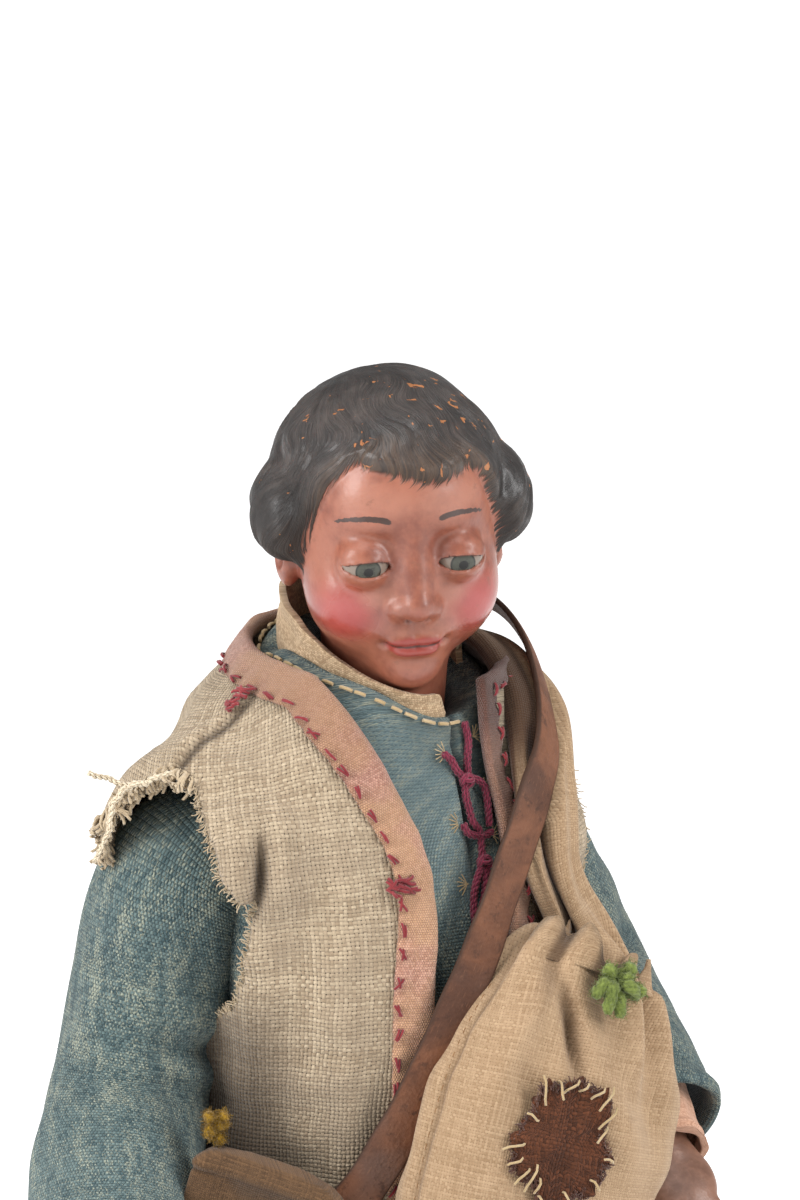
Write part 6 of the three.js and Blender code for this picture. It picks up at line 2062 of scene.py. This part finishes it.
def hand_distance(curl):
    fingers = []
    for i, long in enumerate((15.5, 17, 16, 13)):
        x = (1.5 - i) * 4.3 + 0.15
        fingers.append((np.array([x, 1.0, 15.0]), long, 2.3 - 0.12 * i, curl + 0.06 * i, (x - 1) * 0.018))
    fingers.append((np.array([6, 1.2, 3.5]), 16, 2.7, curl * 0.55, 0.75))
    bones = []
    for foot, long, radius, bend, spread in fingers:
        lean, point = bend * 0.3, foot
        for k, share in enumerate((0.42, 0.32, 0.26)):
            way = np.array([math.sin(spread), math.sin(lean), math.cos(lean) * math.cos(spread)])
            ahead = point + share * long * way
            bones.append((point, ahead, radius * (1.08 - 0.1 * k), radius * (0.98 - 0.12 * k)))
            point, lean = ahead, lean + bend

    def distance(p):
        d = rod(p, (0, 0, -8), (0, 0.3, 1), 6.1, 5.6)
        d = join(d, ball(p, (0, 0.6, 8.5), (8.8, 4.6, 10.5)), 3)
        d = join(d, ball(p, (5.5, 1.6, 6.5), (4.2, 3.8, 6)), 2)
        for a, b, ra, rb in bones:
            d = join(d, rod(p, a, b, ra, rb), 0.9)
        return d

    return distance


def make_hands():
    for side, curl in (("right", 0.34), ("left", 0.3)):
        end, axes = arm_frame(side)
        step = 0.5
        points, faces = skin_of(hand_distance(curl), (-15, -9, -17), (22, 18, 37), step)
        place = (points + np.array([0, 0, 7])) @ axes.T + end
        # The wrist inside the cuff is darkened too, as painted shade under the cuff
        hollow = hollows(points, faces, 8) + 0.3 * smooth(points[:, 2], 2, -4)
        piece = Shape().add(place, faces, hollow=hollow).make(side + "_hand_carved", FLESH, merge=0)
        finished(piece, "painted_wood", side + "_hand")
        t, angle = round_grid(60, 97)
        up = -6 + 14.2 * smooth(t, 0, 0.72) - 3 * smooth(t, 0.8, 1.0)
        radius = 9.2 + 0.3 * bump(t - 0.72, 0.07) - 1.5 * smooth(t, 0.72, 0.84) + 0.25 * bump(t - 0.55, 0.03)
        local = np.stack([radius * np.cos(angle), radius * np.sin(angle), up], -1)
        place = local @ axes.T + end
        out = unit(place - (end + up[..., None] * axes[:, 2]))
        place = place + out * (0.3 * ripples(place, 7, 151))[..., None]
        cuff = Shape().grid(place, pattern_of(place)).make(side + "_cuff_cloth", PEACH_COTTON)
        finished(cuff, "peach_cotton", side + "_cuff")


# Legs, shoes and breeches
LEGS = {
    "right": track(
        (0, -17, -1, 176, 16, 11), (0.42, -20, -5, 122, 17, 10.5), (0.58, -21, -5, 100, 14.5, 9.5),
        (0.64, -21, -4.5, 93, 12.5, 9), (0.8, -22.5, 0, 66, 12.5, 10.5), (1, -24, 3, 24, 12, 7),
    ),
    "left": track(
        (0, 17, 1, 176, 16, 11), (0.42, 21, -2, 122, 17, 10.5), (0.58, 23, 3, 100, 14.5, 9.5),
        (0.64, 23.5, 4.5, 93, 12.5, 9), (0.8, 25.5, 10, 66, 12.5, 10.5), (1, 28, 15, 24, 12, 7),
    ),
}


def make_legs():
    for side, turn in (("right", 8), ("left", -22)):
        at, angle = round_grid(76, 57, 0.3)
        place = on_tube(LEGS[side], at, angle, 0, 4)
        shape = Shape().grid(place, shoe=np.zeros(at.shape))
        run, angle = round_grid(60, 69, -1)
        full = np.maximum(1 - np.abs(run) ** 2.6, 0.0) ** 0.45
        wide = (8 + 1.4 * bump(run - 0.45, 0.4)) * full
        top = (11 - 5 * smooth(run, -0.3, 0.8)) * full
        up = np.maximum(top * np.sin(angle), -3.5 * full**0.3)
        local = np.stack([wide * np.cos(angle), -22 * run, up], -1)
        welt = bump(local[..., 2] + 2.2, 0.5) * 0.45 - bump(local[..., 2] + 1.3, 0.4) * 0.3
        local[..., :2] *= (1 + welt * 0.08)[..., None]
        x, y, _ = LEGS[side](1.0)[:3]
        a = math.radians(turn)
        spin = np.array([[math.cos(a), -math.sin(a), 0], [math.sin(a), math.cos(a), 0], [0, 0, 1]])
        shape.grid(local @ spin.T + np.array([x, y - 11, 15.85]), shoe=np.ones(run.shape))
        piece = shape.make(side + "_leg_carved", FLESH, outward=True)
        finished(piece, "painted_wood", side + "_leg")


# Where the breeches end along the leg
KNEE = 0.64


def make_breeches():
    shape = Shape()
    for side in ("right", "left"):
        at, angle = round_grid(90, 81, 0, KNEE)
        folds = 0.8 * np.sin(angle * 6) * bump(at - KNEE, 0.12) + 0.6 * np.sin(angle * 3 + at * 12)
        place = on_tube(LEGS[side], at, angle, folds)
        place = place + unit(place - LEGS[side](at)[..., :3]) * (0.8 * ripples(place, 12, 161))[..., None]
        rim = LEGS[side](KNEE)[:3]
        edge = place[-1:] - rim
        whole = np.concatenate([place, rim + edge * 0.86, rim + edge * 0.7 + [0, 0, 2]])
        shape.grid(whole, pattern_of(whole))
    t, angle = round_grid(40, 121)
    full = np.sqrt(1 - (1 - np.minimum(t * 1.6, 1)) ** 2)
    seat = np.stack([33.5 * full * np.cos(angle), 26.5 * full * np.sin(angle) + 0.5, 138 + 40 * t], -1)
    whole = np.concatenate([seat, seat[-1:] * np.array([0, 0, 1.0])])
    shape.grid(whole, pattern_of(whole))
    piece = shape.make("breeches_cloth", BROWN_WOOL, outward=True)
    finished(piece, "brown_wool", "breeches")


make_tunic()
make_lacing()
make_waistcoat()
make_ribbon()
make_neck_stitches()
make_collar()
make_strap()
make_sack()
make_patch()
make_ties()
make_pouch()
make_hands()
make_legs()
make_breeches()

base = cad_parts["base"]
base.data.materials.clear()
base.data.materials.append(STAINED)
